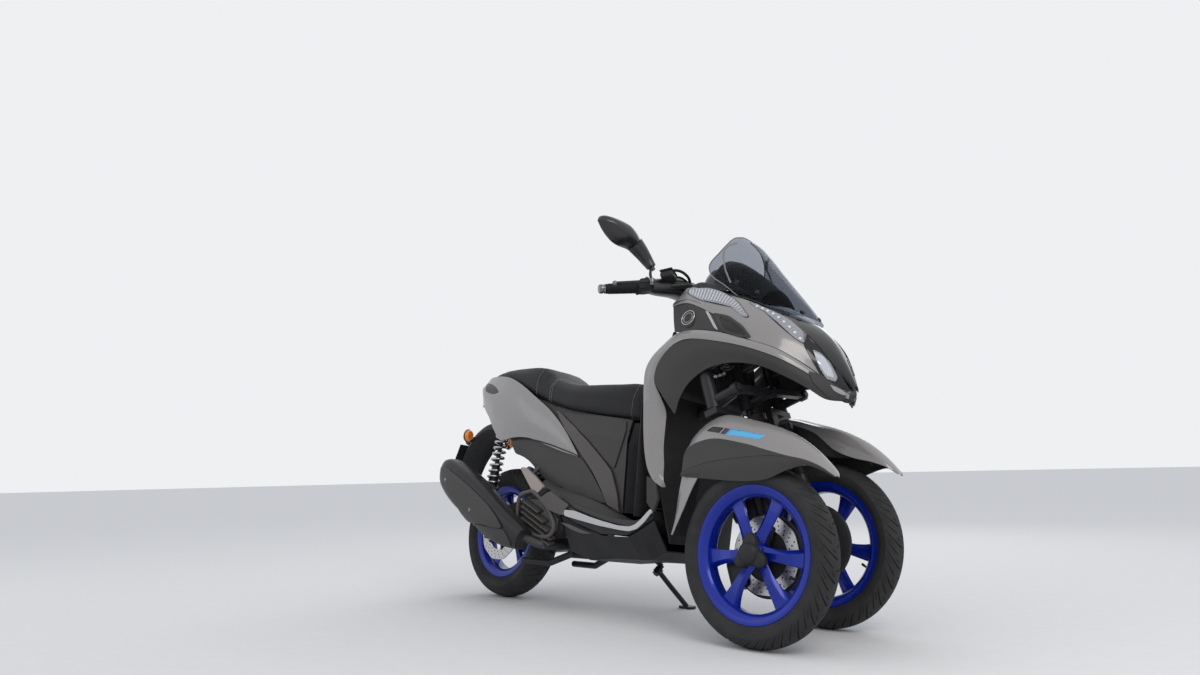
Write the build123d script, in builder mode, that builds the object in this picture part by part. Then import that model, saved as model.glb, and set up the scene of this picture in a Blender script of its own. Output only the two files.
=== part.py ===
from build123d import *
from math import atan, cos, degrees, radians, sin, tan
import os

# Three-wheeled leaning scooter, two wheels in front, parked on its side stand.
# Everything is first drawn upright: +X forward, +Y to the rider's left, +Z up,
# with the front axle over X = 0 and the ground at Z = 0.  The parallelogram that
# carries the front wheels is drawn already sheared, as it is when the body leans
# on its stand, and the whole machine is turned onto the floor at the end.

# Driving dimensions, millimetres and degrees
wheelbase = 1350
track = 385
caster = 20
lean = 8
trail_offset = 22
front_radius, front_width, front_flange, front_crown = 250, 90, 190, 50
rear_radius, rear_width, rear_flange, rear_crown = 256, 130, 181, 70
flange_lip = 4.5
panel = 4
wheel_gap = 0.5

# Kingpin stations, measured along the steering axis from the front axle's height
crown_low, crown_high = 428, 448
leg_top = 372
member_low, member_high = 450, 640
lower_arm_at, upper_arm_at = 476, 592
arm_back, arm_front = 84, 104
fork_inset = 75
fork_stations = (48, -6)
pin_radius = 8.5
column_radius = 12.5

caster_cos, caster_sin = cos(radians(caster)), sin(radians(caster))
lean_cos, lean_sin = cos(radians(lean)), sin(radians(lean))
swing = degrees(atan(tan(radians(lean)) / caster_cos))
half_track = track / 2
reach = half_track * cos(radians(swing))
rise = half_track * sin(radians(swing))
front_height = front_radius - front_crown + front_crown / lean_cos
rear_height = rear_radius - rear_crown + rear_crown / lean_cos
steer_line = (-caster_sin, 0, caster_cos)
arm_line = (caster_cos, 0, caster_sin)
RIGHT, LEFT = -1, 1
SIDES = (("right", RIGHT), ("left", LEFT))

pieces = []


def keep(piece, label):
    piece.label = label
    pieces.append(piece)
    return piece


def kingpin(side, along=0.0, forward=0.0):
    """Plane across a steering axis: x forward along the arm axis, y to the left."""
    height = along + side * rise
    return Plane(
        origin=(
            -trail_offset - height * caster_sin + forward * caster_cos,
            side * reach,
            front_height + height * caster_cos + forward * caster_sin,
        ),
        x_dir=arm_line,
        z_dir=steer_line,
    )


def facing(side, along, forward=0.0):
    """Plane that faces along the arm pivots: x to the left, y up the steering axis."""
    base = kingpin(side, along, forward)
    return Plane(origin=base.origin, x_dir=(0, 1, 0), z_dir=arm_line)


def axle_point(side):
    """Middle of a front wheel."""
    base = kingpin(side).origin
    return (base.X + trail_offset, base.Y, base.Z)


def tube(path_points, bends, radius):
    """Round tube along straight runs joined by bends."""
    with BuildPart() as run:
        with BuildLine() as path:
            FilletPolyline(*path_points, radius=bends)
        with BuildSketch(Plane(origin=path.line @ 0, z_dir=path.line % 0)):
            Circle(radius)
        sweep(path=path.line)
    return run.part


def shell(stations, place):
    """Ruled panel through stations of (position, closed outline)."""
    with BuildPart() as panel_part:
        for position, outline in stations:
            with BuildSketch(place(position)):
                with BuildLine():
                    Polyline(*outline, close=True)
                make_face()
        loft(ruled=True)
    return panel_part.part


def across_x(position):
    """Plane square to the machine's length: x to the left, y up."""
    return Plane(origin=(position, 0, 0), x_dir=(0, 1, 0), z_dir=(1, 0, 0))


def both_sides(part):
    with BuildPart() as pair:
        add(part)
        mirror(about=Plane.XZ)
    return pair.part


# Wheels
def make_wheel(name, centre, outer, size, spoke_size):
    """Tyre, rim and brake disc; outer is the sign of the side without the disc."""
    radius, width, flange, crown, disc_radius, disc_at = size
    bead = width * 0.31
    seat_radius = flange - 12
    side_x = crown * sin(radians(64))
    side_y = radius - crown + crown * cos(radians(64))
    axle = Axis(centre, (0, 1, 0))
    section = Plane(origin=centre, x_dir=(0, 1, 0), z_dir=(1, 0, 0))

    with BuildPart() as tyre:
        with BuildSketch(section):
            with BuildLine():
                Line((-bead, seat_radius), (bead, seat_radius))
                Line((bead, seat_radius), (bead, flange))
                Line((bead, flange), (bead + flange_lip, flange))
                middle = ((bead + flange_lip + side_x) / 2 + 4, (flange + side_y) / 2)
                ThreePointArc((bead + flange_lip, flange), middle, (side_x, side_y))
                ThreePointArc((side_x, side_y), (0, radius), (-side_x, side_y))
                ThreePointArc(
                    (-side_x, side_y), (-middle[0], middle[1]), (-bead - flange_lip, flange)
                )
                Line((-bead - flange_lip, flange), (-bead, flange))
                Line((-bead, flange), (-bead, seat_radius))
            make_face()
        revolve(axis=axle)
    keep(tyre.part, f"{name}_tyre")

    hub_radius, hub_half, bore, cap, bore_end, blade_count, blade_root, blade_tip, blade_turn = spoke_size
    well = seat_radius - 20
    with BuildPart() as blade:
        for distance, long, thick, turn in (
            (hub_radius - 6, blade_root, 20, -blade_turn),
            ((hub_radius + well) / 2, (blade_root + blade_tip) / 2 - 4, 15, 0),
            (well + 3, blade_tip, 14, blade_turn / 2),
        ):
            with BuildSketch(
                Plane(
                    origin=(centre[0], centre[1], centre[2] + distance),
                    x_dir=(cos(radians(turn)), sin(radians(turn)), 0),
                    z_dir=(0, 0, 1),
                )
            ):
                Rectangle(long, thick)
        loft(ruled=True)
    with BuildPart() as rim:
        with BuildSketch(section):
            with BuildLine():
                Polyline(
                    (-bead - flange_lip, flange),
                    (-bead, flange),
                    (-bead, seat_radius),
                    (bead, seat_radius),
                    (bead, flange),
                    (bead + flange_lip, flange),
                    (bead + flange_lip, seat_radius - 6),
                    (bead - 8, well),
                    (-bead + 8, well),
                    (-bead - flange_lip, seat_radius - 6),
                    close=True,
                )
            make_face()
        revolve(axis=axle)
        for turn in range(blade_count):
            add(blade.part.rotate(axle, turn * 360 / blade_count))
        with BuildSketch(section):
            with BuildLine():
                Polyline(
                    (-outer * hub_half, hub_radius - 4),
                    (0, hub_radius),
                    (outer * hub_half * 0.8, hub_radius - 2),
                    (outer * cap, hub_radius * 0.6),
                    (outer * cap, 0),
                    (-outer * hub_half, 0),
                    close=True,
                )
            make_face()
        revolve(axis=axle)
        with BuildSketch(section):
            with BuildLine():
                Polyline(
                    (-outer * 2 * hub_half, 0),
                    (-outer * 2 * hub_half, bore),
                    (outer * bore_end, bore),
                    (outer * bore_end, 0),
                    close=True,
                )
            make_face()
        revolve(axis=axle, mode=Mode.SUBTRACT)
    keep(rim.part, f"{name}_rim")

    disc_plane = Plane(
        origin=(centre[0], centre[1] - outer * disc_at, centre[2]),
        x_dir=(1, 0, 0),
        z_dir=(0, -outer, 0),
    )
    with BuildPart() as disc:
        with BuildSketch(disc_plane):
            Circle(disc_radius)
            Circle(hub_radius - 12, mode=Mode.SUBTRACT)
            with PolarLocations(disc_radius * 0.52, 5):
                Rectangle(disc_radius * 0.2, disc_radius * 0.42, mode=Mode.SUBTRACT)
            with PolarLocations(disc_radius * 0.86, 10):
                Circle(disc_radius * 0.05, mode=Mode.SUBTRACT)
        extrude(amount=4)
    keep(disc.part, f"{name}_disc")


# name: radius, width, rim flange, crown radius, disc radius, disc place from the middle
front_size = (front_radius, front_width, front_flange, front_crown, 110, 38)
rear_size = (rear_radius, rear_width, rear_flange, rear_crown, 115, 60)
# hub radius, half width, bore, cap reach, bore end, blades, root width, tip width, twist
front_spokes = (34, 34, 8, 62, 40, 6, 30, 46, 22)
rear_spokes = (38, 56, 10, 64, 70, 6, 34, 44, 18)
for name, side in SIDES:
    make_wheel(f"{name}_front", axle_point(side), side, front_size, front_spokes)
rear_axle = (-wheelbase, 0, rear_height)
make_wheel("rear", rear_axle, LEFT, rear_size, rear_spokes)


# Tilting arms: two plates in front of the steering axes, on pins at both ends
def make_arm(label, along):
    with BuildPart() as arm:
        with BuildSketch(facing(0, along, arm_back)) as outline:
            Rectangle(track, 22, rotation=swing)
            with Locations(Rotation(0, 0, swing)):
                with Locations((0, 0), (-half_track, 0), (half_track, 0)):
                    Circle(19)
                    Circle(pin_radius + wheel_gap, mode=Mode.SUBTRACT)
        extrude(amount=arm_front - arm_back)
    keep(arm.part, label)


make_arm("upper_arm", upper_arm_at)
make_arm("lower_arm", lower_arm_at)


def pivot_pin(side, along):
    """Boss, pin and head that carry an arm; the arm runs between boss and head."""
    with BuildPart() as pin:
        with BuildSketch(facing(side, along, 12)):
            Circle(15)
        extrude(amount=arm_back - 13)
        with BuildSketch(facing(side, along, arm_back - 2)):
            Circle(pin_radius)
        extrude(amount=arm_front - arm_back + 5)
        with BuildSketch(facing(side, along, arm_front + 1)):
            RegularPolygon(13, 6)
        extrude(amount=7)
    return pin.part


# Upright members at the arm ends; the forks turn inside them
for name, side in SIDES:
    with BuildPart() as member:
        with BuildSketch(kingpin(side, member_low)):
            Circle(22)
        extrude(amount=member_high - member_low)
        add(pivot_pin(side, lower_arm_at))
        add(pivot_pin(side, upper_arm_at))
        with BuildSketch(kingpin(side, member_low - 5)):
            Circle(column_radius + wheel_gap)
        extrude(amount=member_high - member_low + 10, mode=Mode.SUBTRACT)
    keep(member.part, f"{name}_upright")


# Forks: steering shaft, crown, two legs on the inner side, axle and brake caliper
def fork_part(name, side):
    inner = -side
    centre = axle_point(side)
    across = Plane(origin=centre, x_dir=arm_line, z_dir=(0, inner, 0))
    # Brake caliper behind the legs, with a slot for the disc
    with BuildPart() as caliper:
        with BuildSketch(across.offset(26)):
            with Locations((-104, 20)):
                RectangleRounded(56, 84, 16)
        extrude(amount=48)
        with BuildSketch(across.offset(33)):
            Circle(116)
        extrude(amount=14, mode=Mode.SUBTRACT)
    with BuildPart() as fork:
        with BuildSketch(kingpin(side, crown_low)):
            Circle(column_radius)
        extrude(amount=member_high - crown_low + 14)
        with BuildSketch(kingpin(side, member_high + 2)):
            RegularPolygon(20, 6)
        extrude(amount=12)
        # The crown steps down behind the lower arm, which dips past it at full lean
        with BuildSketch(kingpin(side, crown_low)):
            with BuildLine():
                Polyline(
                    (-26, -20 * inner),
                    (20, -20 * inner),
                    (20, 94 * inner),
                    (-30, 94 * inner),
                    (-30, 58 * inner),
                    close=True,
                )
            make_face()
        extrude(amount=crown_high - crown_low)
        with BuildSketch(kingpin(side, leg_top - 20)):
            with Locations((-5, 78 * inner)):
                Rectangle(50, 32)
        extrude(amount=crown_high - leg_top + 20)
        with BuildSketch(kingpin(side, leg_top - 20)):
            with Locations((20, 77 * inner)):
                RectangleRounded(98, 36, 14)
        extrude(amount=20)
        for forward in fork_stations:
            with BuildSketch(kingpin(side, 150)):
                with Locations((forward, fork_inset * inner)):
                    Circle(15)
            extrude(amount=leg_top - 150)
            with BuildSketch(kingpin(side, -34)):
                with Locations((forward, fork_inset * inner)):
                    Circle(19)
            extrude(amount=230)
        with BuildSketch(across.offset(62)):
            RectangleRounded(94, 60, 20)
        extrude(amount=26)
        with BuildSketch(across.offset(-36)):
            Circle(7.5)
        extrude(amount=110)
        with BuildSketch(across.offset(62)):
            with Locations((-60, 20)):
                Rectangle(70, 34)
        extrude(amount=14)
        add(caliper.part)
    return fork.part


for name, side in SIDES:
    keep(fork_part(name, side), f"{name}_fork")


# Front mudguards, drawn from the wheel's middle: y outwards, z up
# x from the axle, top height, crease height, lower edge height
mudguard_rows = (
    (-254, 246, 228, 214),
    (-236, 352, 292, 211),
    (-149, 402, 322, 204),
    (-23, 379, 304, 196),
    (61, 354, 281, 201),
    (125, 325, 264, 224),
    (179, 289, 252, 237),
    (243, 223, 215, 209),
)
# height, front x at the side, rear x
flap_rows = ((226, -172, -254), (111, -234, -272), (40, -270, -284))
guard_in, guard_top, guard_crease, guard_edge = 48, 6, -52, -57
flap_corner = guard_edge + 15


def make_mudguard(name, side):
    centre = axle_point(side)
    flip = side * -1

    def profile(points):
        placed = [(centre[1] + flip * y, centre[2] + z) for y, z in points]
        return placed

    stations = []
    for x, top, crease, edge in mudguard_rows:
        outer = [
            (guard_in, top - 28),
            (guard_top, top),
            (guard_crease, crease),
            (guard_edge, edge),
        ]
        inner = [
            (guard_edge + panel, edge),
            (guard_crease + panel, crease - 2),
            (guard_top, top - panel),
            (guard_in - panel, top - 28 - panel),
        ]
        stations.append((centre[0] + x, profile(outer + inner)))
    guard = shell(stations, across_x)
    flap = []
    for z, front, rear in flap_rows:
        outline = [
            (front, guard_edge),
            (rear, flap_corner),
            (rear, guard_in - 8),
            (rear + panel, guard_in - 8),
            (rear + panel, flap_corner + panel),
            (front, guard_edge + panel),
        ]
        placed = [(centre[0] + x, centre[1] + flip * y) for x, y in outline]
        flap.append((centre[2] + z, placed))
    flap_part = shell(flap, lambda height: Plane.XY.offset(height))
    with BuildPart() as mudguard:
        add(guard)
        add(flap_part)
        # Stay that holds the guard to the inner fork legs
        with BuildSketch(kingpin(side, 378)):
            with Locations((-5, -side * 53.5)):
                Rectangle(50, 17)
        extrude(amount=20)
    keep(mudguard.part, f"{name}_mudguard")


for name, side in SIDES:
    make_mudguard(name, side)

# Handlebar column in the middle of the front end, and the bar on it
bar_path = (
    (-545, -342, 1061),
    (-470, -205, 1090),
    (-385, -110, 1112),
    (-352, 0, 1100),
    (-385, 110, 1112),
    (-470, 205, 1090),
    (-545, 342, 1061),
)
grip_radius = 17
with BuildPart() as handlebar:
    add(tube(bar_path, 60, 11.1))
    with BuildSketch(kingpin(0, 425)):
        Circle(column_radius)
    extrude(amount=455)
    # Lever under the head tube that works the tie rods
    with BuildSketch(kingpin(0, 405)):
        with Locations((14, 0)):
            RectangleRounded(70, 44, 18)
    extrude(amount=20)
    # Clamp that joins the column to the bar
    with BuildSketch(kingpin(0, 858)):
        with Locations((-14, 0)):
            RectangleRounded(64, 56, 14)
    extrude(amount=44)
keep(handlebar.part, "handlebar")


def along_bar(side, start, end, radius):
    """Sleeve over the outer run of the bar; start and end are shares of that run."""
    tip = Vector(*bar_path[0 if side == RIGHT else -1])
    root = Vector(*bar_path[1 if side == RIGHT else -2])
    run = tip - root
    with BuildPart() as sleeve:
        with BuildSketch(Plane(origin=root + run * start, z_dir=run)):
            Circle(radius)
            Circle(11.1, mode=Mode.SUBTRACT)
        extrude(amount=run.length * (end - start))
    return sleeve.part


with BuildPart() as grips:
    for _, side in SIDES:
        add(along_bar(side, 0.24, 0.96, grip_radius))
keep(grips.part, "grips")

with BuildPart() as controls:
    for _, side in SIDES:
        add(along_bar(side, 0.06, 0.22, 22))
        with BuildSketch(Plane(origin=(-452, side * 232, 1092), z_dir=(0.42, side * 0.9, -0.1))):
            RectangleRounded(40, 34, 10)
        extrude(amount=20)
        add(tube(
            ((-440, side * 232, 1092), (-410, side * 250, 1090), (-478, side * 352, 1066)),
            24,
            6,
        ))
keep(controls.part, "controls")

mirror_middle = (-545, 286, 1278)
with BuildPart() as mirrors:
    for _, side in SIDES:
        head = (mirror_middle[0], side * mirror_middle[1], mirror_middle[2])
        back = Plane(origin=head, x_dir=(0, 1, 0), z_dir=(-1, 0, 0))
        with BuildSketch(back):
            Ellipse(93, 54)
        with BuildSketch(back.offset(-26)):
            Ellipse(80, 44)
        with BuildSketch(back.offset(-52)):
            Ellipse(42, 22)
        loft(ruled=True)
        with BuildSketch(back):
            Ellipse(93, 54)
        extrude(amount=5)
        add(tube(
            (
                (-462, side * 196, 1098),
                (-480, side * 202, 1150),
                (-515, side * 240, 1222),
                (-524, side * 268, 1262),
            ),
            24,
            6.5,
        ))
keep(mirrors.part, "mirrors")

# Side stand pivot: the leg swings back about a slanted bolt under the left floor rail
stand_root = Vector(-640, 118, 153)
stand_knee = Vector(-622, 166, 104)
stand_folded = Vector(-1, 0.15, 0)
stand_axis = (stand_knee - stand_root).cross(stand_folded).normalized()
stand_eye, stand_bolt, eye_half = 15, 8, 9

# Frame: head tube with the arm pins, backbone, floor rails and seat rails
backbone = kingpin(0, 545, -24).origin
stand_lug = stand_root + stand_axis * 22
with BuildPart() as frame:
    with BuildSketch(kingpin(0, member_low)):
        Circle(26)
    extrude(amount=member_high - member_low)
    add(pivot_pin(0, lower_arm_at))
    add(pivot_pin(0, upper_arm_at))
    with BuildSketch(kingpin(0, member_low - 5)):
        Circle(column_radius + wheel_gap)
    extrude(amount=member_high - member_low + 10, mode=Mode.SUBTRACT)
    add(tube(((backbone.X, 0, backbone.Z), (-400, 0, 660), (-452, 0, 250), (-700, 0, 232)), 60, 22))
    for _, side in SIDES:
        add(tube(
            (
                (-640, side * 10, 232),
                (-700, side * 92, 232),
                (-790, side * 128, 380),
                (-960, side * 128, 560),
                (-1160, side * 118, 690),
                (-1400, side * 74, 780),
            ),
            40,
            13,
        ))
    add(tube(((-700, 88, 226), (-664, 108, 200), tuple(stand_lug)), 14, 9))
    with BuildSketch(Plane(origin=stand_root - stand_axis * (eye_half + 2), z_dir=stand_axis)):
        Circle(stand_bolt)
    extrude(amount=eye_half + 26)
    with BuildSketch(Plane(origin=stand_root - stand_axis * (eye_half + 8), z_dir=stand_axis)):
        RegularPolygon(13, 6)
    extrude(amount=7)
    for x, z, half in ((-905, 502, 128), (-1360, 765, 76)):
        with BuildSketch(Plane(origin=(x, -half, z), z_dir=(0, 1, 0))):
            Circle(12)
        extrude(amount=2 * half)
keep(frame.part, "frame")

# Front fairing.  Each row is a station along the machine with half widths and
# heights of four lines that run round it: the top edge under the screen, the
# panel line, the crease over the wheel arch and the arch edge.
# x, centre z, top y, top z, line y, line z, crease y, crease z, arch y, arch z
fairing_rows = (
    (-330, 1098, 150, 1076, 215, 935, 246, 846, 220, 652),
    (-285, 1096, 155, 1067, 217, 930, 247, 862, 222, 690),
    (-250, 1090, 158, 1056, 218, 925, 247, 868, 223, 730),
    (-150, 1060, 155, 1024, 212, 905, 238, 850, 222, 778),
    (-50, 1010, 145, 985, 196, 872, 220, 826, 206, 778),
    (50, 945, 118, 920, 160, 832, 182, 787, 168, 738),
    (120, 882, 92, 850, 118, 782, 138, 746, 128, 700),
    (172, 800, 66, 766, 80, 730, 92, 704, 86, 664),
    (205, 722, 30, 708, 34, 700, 40, 688, 40, 662),
)


def band(rows, upper, lower, thickness=panel):
    """Stations of a strip between two of the fairing's lines, right side."""
    stations = []
    for row in rows:
        lines = ((0, row[1]), (row[2], row[3]), (row[4], row[5]), (row[6], row[7]), (row[8], row[9]))
        outer = [(-y, z) for y, z in lines[upper:lower + 1]]
        inner = [(y + thickness, z - thickness * 0.5) for y, z in outer]
        stations.append((row[0], outer + inner[::-1]))
    return stations


keep(both_sides(shell(band(fairing_rows, 1, 3), across_x)), "front_cowl")
keep(both_sides(shell(band(fairing_rows, 3, 4), across_x)), "arch_trim")

roof_rows = [row for row in fairing_rows if row[0] >= -285]


def roof(rows, depth):
    """Stations of the deck under the screen, depth downwards."""
    stations = []
    for row in rows:
        edge = row[2] - 5
        outer = [(-edge, row[3]), (-edge * 0.5, row[1] - 4), (0, row[1])]
        outer += [(-y, z) for y, z in outer[1::-1]]
        inner = [(y * 0.98, z - depth) for y, z in outer]
        stations.append((row[0], outer + inner[::-1]))
    return stations


keep(shell(roof(roof_rows, panel), across_x), "screen_base")

# Windscreen: height, middle x, edge x, half width
screen_rows = (
    (955, 60, -60, 118),
    (1060, -22, -180, 142),
    (1130, -78, -262, 148),
    (1200, -134, -222, 124),
    (1245, -172, -216, 86),
    (1274, -206, -222, 42),
)
with BuildPart() as windscreen:
    for z, middle, edge, half in screen_rows:
        with BuildSketch(Plane.XY.offset(z)):
            with BuildLine():
                ThreePointArc((edge, -half), (middle, 0), (edge, half))
                Line((edge, half), (edge - panel, half - panel))
                ThreePointArc((edge - panel, half - panel), (middle - panel, 0), (edge - panel, panel - half))
                Line((edge - panel, panel - half), (edge, -half))
            make_face()
    loft(ruled=True)
    add(shell(roof(roof_rows, 240), across_x), mode=Mode.SUBTRACT)
keep(windscreen.part.solids().sort_by(Axis.Z)[-1], "windscreen")

# Lamps let into the nose, one block each side that seats behind the cowl
with BuildPart() as lamp:
    for x, y, z, wide, high in ((196, 20, 716, 22, 26), (160, 40, 776, 30, 44), (112, 60, 842, 36, 30)):
        with BuildSketch(Plane(origin=(x - 40, -y, z - 34), x_dir=(0, 1, 0), z_dir=(1, 0, 0))):
            Rectangle(wide, high)
    loft(ruled=True)
keep(both_sides(lamp.part), "headlamps")

# Leg shield: height, outer edge x and y, inner edge x and y
shield_rows = (
    (408, -324, 234, -318, 220),
    (427, -364, 238, -330, 217),
    (507, -398, 241, -344, 213),
    (610, -414, 242, -342, 210),
    (645, -418, 242, -346, 206),
    (716, -423, 242, -374, 226),
    (790, -420, 242, -374, 236),
    (838, -378, 244, -336, 244),
)


def shield_stations():
    stations = []
    for z, outer_x, outer_y, inner_x, inner_y in shield_rows:
        outline = [
            (outer_x, -outer_y),
            (inner_x, -inner_y),
            (inner_x - panel, panel - inner_y),
            (outer_x - panel, panel - outer_y),
        ]
        stations.append((z, outline))
    return stations


keep(both_sides(shell(shield_stations(), lambda height: Plane.XY.offset(height))), "leg_shields")

# Wall behind the front wheels and the rider's side of the leg shield
wall_rows = ((240, -352, 150), (420, -372, 196), (560, -376, 192), (700, -378, 200), (850, -346, 214))


def wall(rows, back, bulge):
    stations = []
    for z, x, half in rows:
        outer = [(x - back, -half), (x - back + bulge, -half * 0.6), (x - back + bulge, half * 0.6), (x - back, half)]
        stations.append((z, outer + [(a - panel, b) for a, b in outer[::-1]]))
    return stations


def flat(height):
    return Plane.XY.offset(height)


with BuildPart() as wheel_wall:
    add(shell(wall(wall_rows, 0, 0), flat))
    add(frame.part, mode=Mode.SUBTRACT)
keep(wheel_wall.part, "arch_liner")
inner_rows = (
    (318, -466, 206),
    (420, -440, 232),
    (610, -434, 236),
    (790, -440, 234),
    (900, -400, 226),
    (1000, -378, 200),
    (1024, -372, 190),
)
with BuildPart() as inner_shield:
    add(shell(wall(inner_rows, 0, 34), flat))
    add(frame.part, mode=Mode.SUBTRACT)
keep(inner_shield.part, "inner_shield")

# Floor: x, floor edge height, half width at the edge, belly height, half width there
floor_rows = (
    (-392, 338, 196, 214, 120),
    (-446, 304, 204, 186, 126),
    (-490, 283, 206, 184, 128),
    (-610, 283, 206, 182, 128),
    (-735, 314, 204, 170, 126),
    (-835, 350, 200, 196, 132),
)
# Floor ends beside the engine: x, top height, outer y
floor_tail_rows = ((-834, 350, 200), (-900, 380, 196), (-985, 412, 186))
with BuildPart() as floor:
    for x, edge_z, edge_y, belly_z, belly_y in floor_rows:
        with BuildSketch(across_x(x)):
            with BuildLine():
                Polyline(
                    (-edge_y, edge_z),
                    (-edge_y, edge_z - 26),
                    (edge_y, edge_z - 26),
                    (edge_y, edge_z),
                    close=True,
                )
            make_face()
    loft(ruled=True)
    tails = []
    for x, top, out in floor_tail_rows:
        tails.append((x, [(-out, top), (-out, top - 40), (-154, top - 54), (-154, top)]))
    add(both_sides(shell(tails, across_x)))
    add(frame.part, mode=Mode.SUBTRACT)
keep(floor.part, "floor")
with BuildPart() as belly:
    for x, edge_z, edge_y, belly_z, belly_y in floor_rows:
        with BuildSketch(across_x(x)):
            with BuildLine():
                Polyline(
                    (-edge_y + 8, edge_z - 31),
                    (-belly_y, belly_z),
                    (belly_y, belly_z),
                    (edge_y - 8, edge_z - 31),
                    (edge_y - 8 - panel, edge_z - 31),
                    (belly_y - panel, belly_z + panel),
                    (-belly_y + panel, belly_z + panel),
                    (-edge_y + 8 + panel, edge_z - 31),
                    close=True,
                )
            make_face()
    loft(ruled=True)
    add(frame.part, mode=Mode.SUBTRACT)
    add(floor.part, mode=Mode.SUBTRACT)
keep(belly.part, "under_cover")

# Side covers under the seat: x, top height, lower edge height
cover_rows = (
    (-574, 648, 330),
    (-640, 660, 356),
    (-740, 676, 379),
    (-860, 698, 404),
    (-925, 712, 420),
    (-1000, 732, 452),
    (-1100, 768, 522),
    (-1186, 800, 551),
    (-1236, 812, 610),
)


def cover_stations():
    stations = []
    for x, top, low in cover_rows:
        points = ((-128, top), (-150, top - 70), (-150, low + 30), (-146, low))
        outer = list(points)
        stations.append((x, outer + [(y + panel, z) for y, z in outer[::-1]]))
    return stations


keep(both_sides(shell(cover_stations(), across_x)), "side_covers")

# Cover in front of the seat's box, over the tank
front_cover_rows = ((332, -572, -528, 141), (560, -572, -524, 141), (640, -572, -524, 118))
box_front = []
for z, side_x, middle_x, half in front_cover_rows:
    outline = [(side_x, -half), (middle_x, -90), (middle_x, 90), (side_x, half)]
    box_front.append((z, outline + [(a - panel, b) for a, b in outline[::-1]]))
keep(shell(box_front, flat), "seat_box_cover")

# Open luggage tub under the seat
tub_side = ((-600, 440), (-600, 650), (-860, 698), (-860, 440))
with BuildPart() as tub:
    for half, inset, mode in ((110, 0, Mode.ADD), (106, 4, Mode.SUBTRACT)):
        (front, low), (_, front_top), (back, back_top), _ = tub_side
        with BuildSketch(Plane(origin=(0, half, 0), x_dir=(1, 0, 0), z_dir=(0, -1, 0))):
            with BuildLine():
                Polyline(
                    (front - inset, low + inset),
                    (front - inset, front_top + 10 * inset),
                    (back + inset, back_top + 10 * inset),
                    (back + inset, low + inset),
                    close=True,
                )
            make_face()
        extrude(amount=2 * half, mode=mode)
keep(tub.part, "luggage_tub")

# Tail cowls: x, upper edge y and z, bulge y and z, lower edge y and z
tail_rows = (
    (-812, 156, 532, 157, 529, 156, 526),
    (-900, 156, 630, 164, 595, 162, 548),
    (-990, 156, 706, 170, 640, 164, 575),
    (-1096, 155, 772, 174, 690, 166, 606),
    (-1200, 151, 832, 172, 740, 164, 612),
    (-1282, 144, 866, 168, 766, 158, 604),
    (-1350, 134, 881, 162, 780, 150, 652),
    (-1402, 126, 887, 154, 800, 142, 706),
    (-1470, 112, 884, 140, 830, 130, 768),
    (-1500, 100, 866, 124, 846, 122, 822),
)
tail_stations = []
for x, top_y, top_z, mid_y, mid_z, low_y, low_z in tail_rows:
    outer = [(-top_y, top_z), (-mid_y, mid_z), (-low_y, low_z)]
    tail_stations.append((x, outer + [(y + panel, z) for y, z in outer[::-1]]))
keep(both_sides(shell(tail_stations, across_x)), "tail_cowls")

rack_spacing, rack_hole_radius = 72, 4
# Tail end: rail round the back of the seat, lamp, mudguard and number plate holder
with BuildPart() as grab_rail:
    with BuildSketch(Plane.XY.offset(842)):
        with BuildLine():
            Polyline(
                (-1436, -104), (-1500, -96), (-1532, -60), (-1532, 60), (-1500, 96), (-1436, 104),
                (-1436, 80), (-1490, 72), (-1506, 46), (-1506, -46), (-1490, -72), (-1436, -80),
                close=True,
            )
        make_face()
    extrude(amount=24)
    with BuildSketch(Plane.XY.offset(842)):
        with Locations((-1519, -rack_spacing / 2), (-1519, rack_spacing / 2)):
            Circle(rack_hole_radius)
    extrude(amount=24, mode=Mode.SUBTRACT)
keep(grab_rail.part, "grab_rail")

with BuildPart() as tail_lamp:
    for x, half, low, high in ((-1420, 118, 716, 800), (-1500, 110, 760, 838), (-1536, 70, 790, 838)):
        with BuildSketch(across_x(x)):
            with Locations((0, (low + high) / 2)):
                Rectangle(2 * half, high - low)
    loft(ruled=True)
    add(frame.part, mode=Mode.SUBTRACT)
keep(tail_lamp.part, "tail_lamp")

# x, height of the mudguard's top, half width
tail_guard_rows = ((-1380, 690, 92), (-1500, 700, 84), (-1600, 660, 74), (-1668, 590, 66), (-1712, 500, 60))
with BuildPart() as rear_guard:
    for x, top, half in tail_guard_rows:
        with BuildSketch(across_x(x)):
            with BuildLine():
                Polyline(
                    (-half, top - 26), (-half + 12, top), (half - 12, top), (half, top - 26),
                    (half - panel, top - 26), (half - 14, top - 5), (14 - half, top - 5),
                    (panel - half, top - 26),
                    close=True,
                )
            make_face()
    loft(ruled=True)
keep(rear_guard.part, "rear_mudguard")

with BuildPart() as indicators:
    for _, side in SIDES:
        with BuildSketch(Plane(origin=(-1592, side * 78, 646), z_dir=(0, side, 0))):
            Circle(6)
        extrude(amount=30)
        with BuildSketch(Plane(origin=(-1578, side * 112, 646), x_dir=(0, 1, 0), z_dir=(-1, 0, 0))):
            Ellipse(20, 27)
        extrude(amount=30)
keep(indicators.part, "rear_indicators")

# Power unit: engine block, belt case on the left, arm on the right
with BuildPart() as engine:
    for x, y, z, long, wide, high in ((-955, -15, 330, 210, 190, 170), (-1020, -10, 350, 120, 170, 130)):
        with BuildSketch(Plane(origin=(x, y, z - high / 2))):
            RectangleRounded(long, wide, 24)
        extrude(amount=high)
    add(frame.part, mode=Mode.SUBTRACT)
keep(engine.part, "engine_block")

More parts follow.
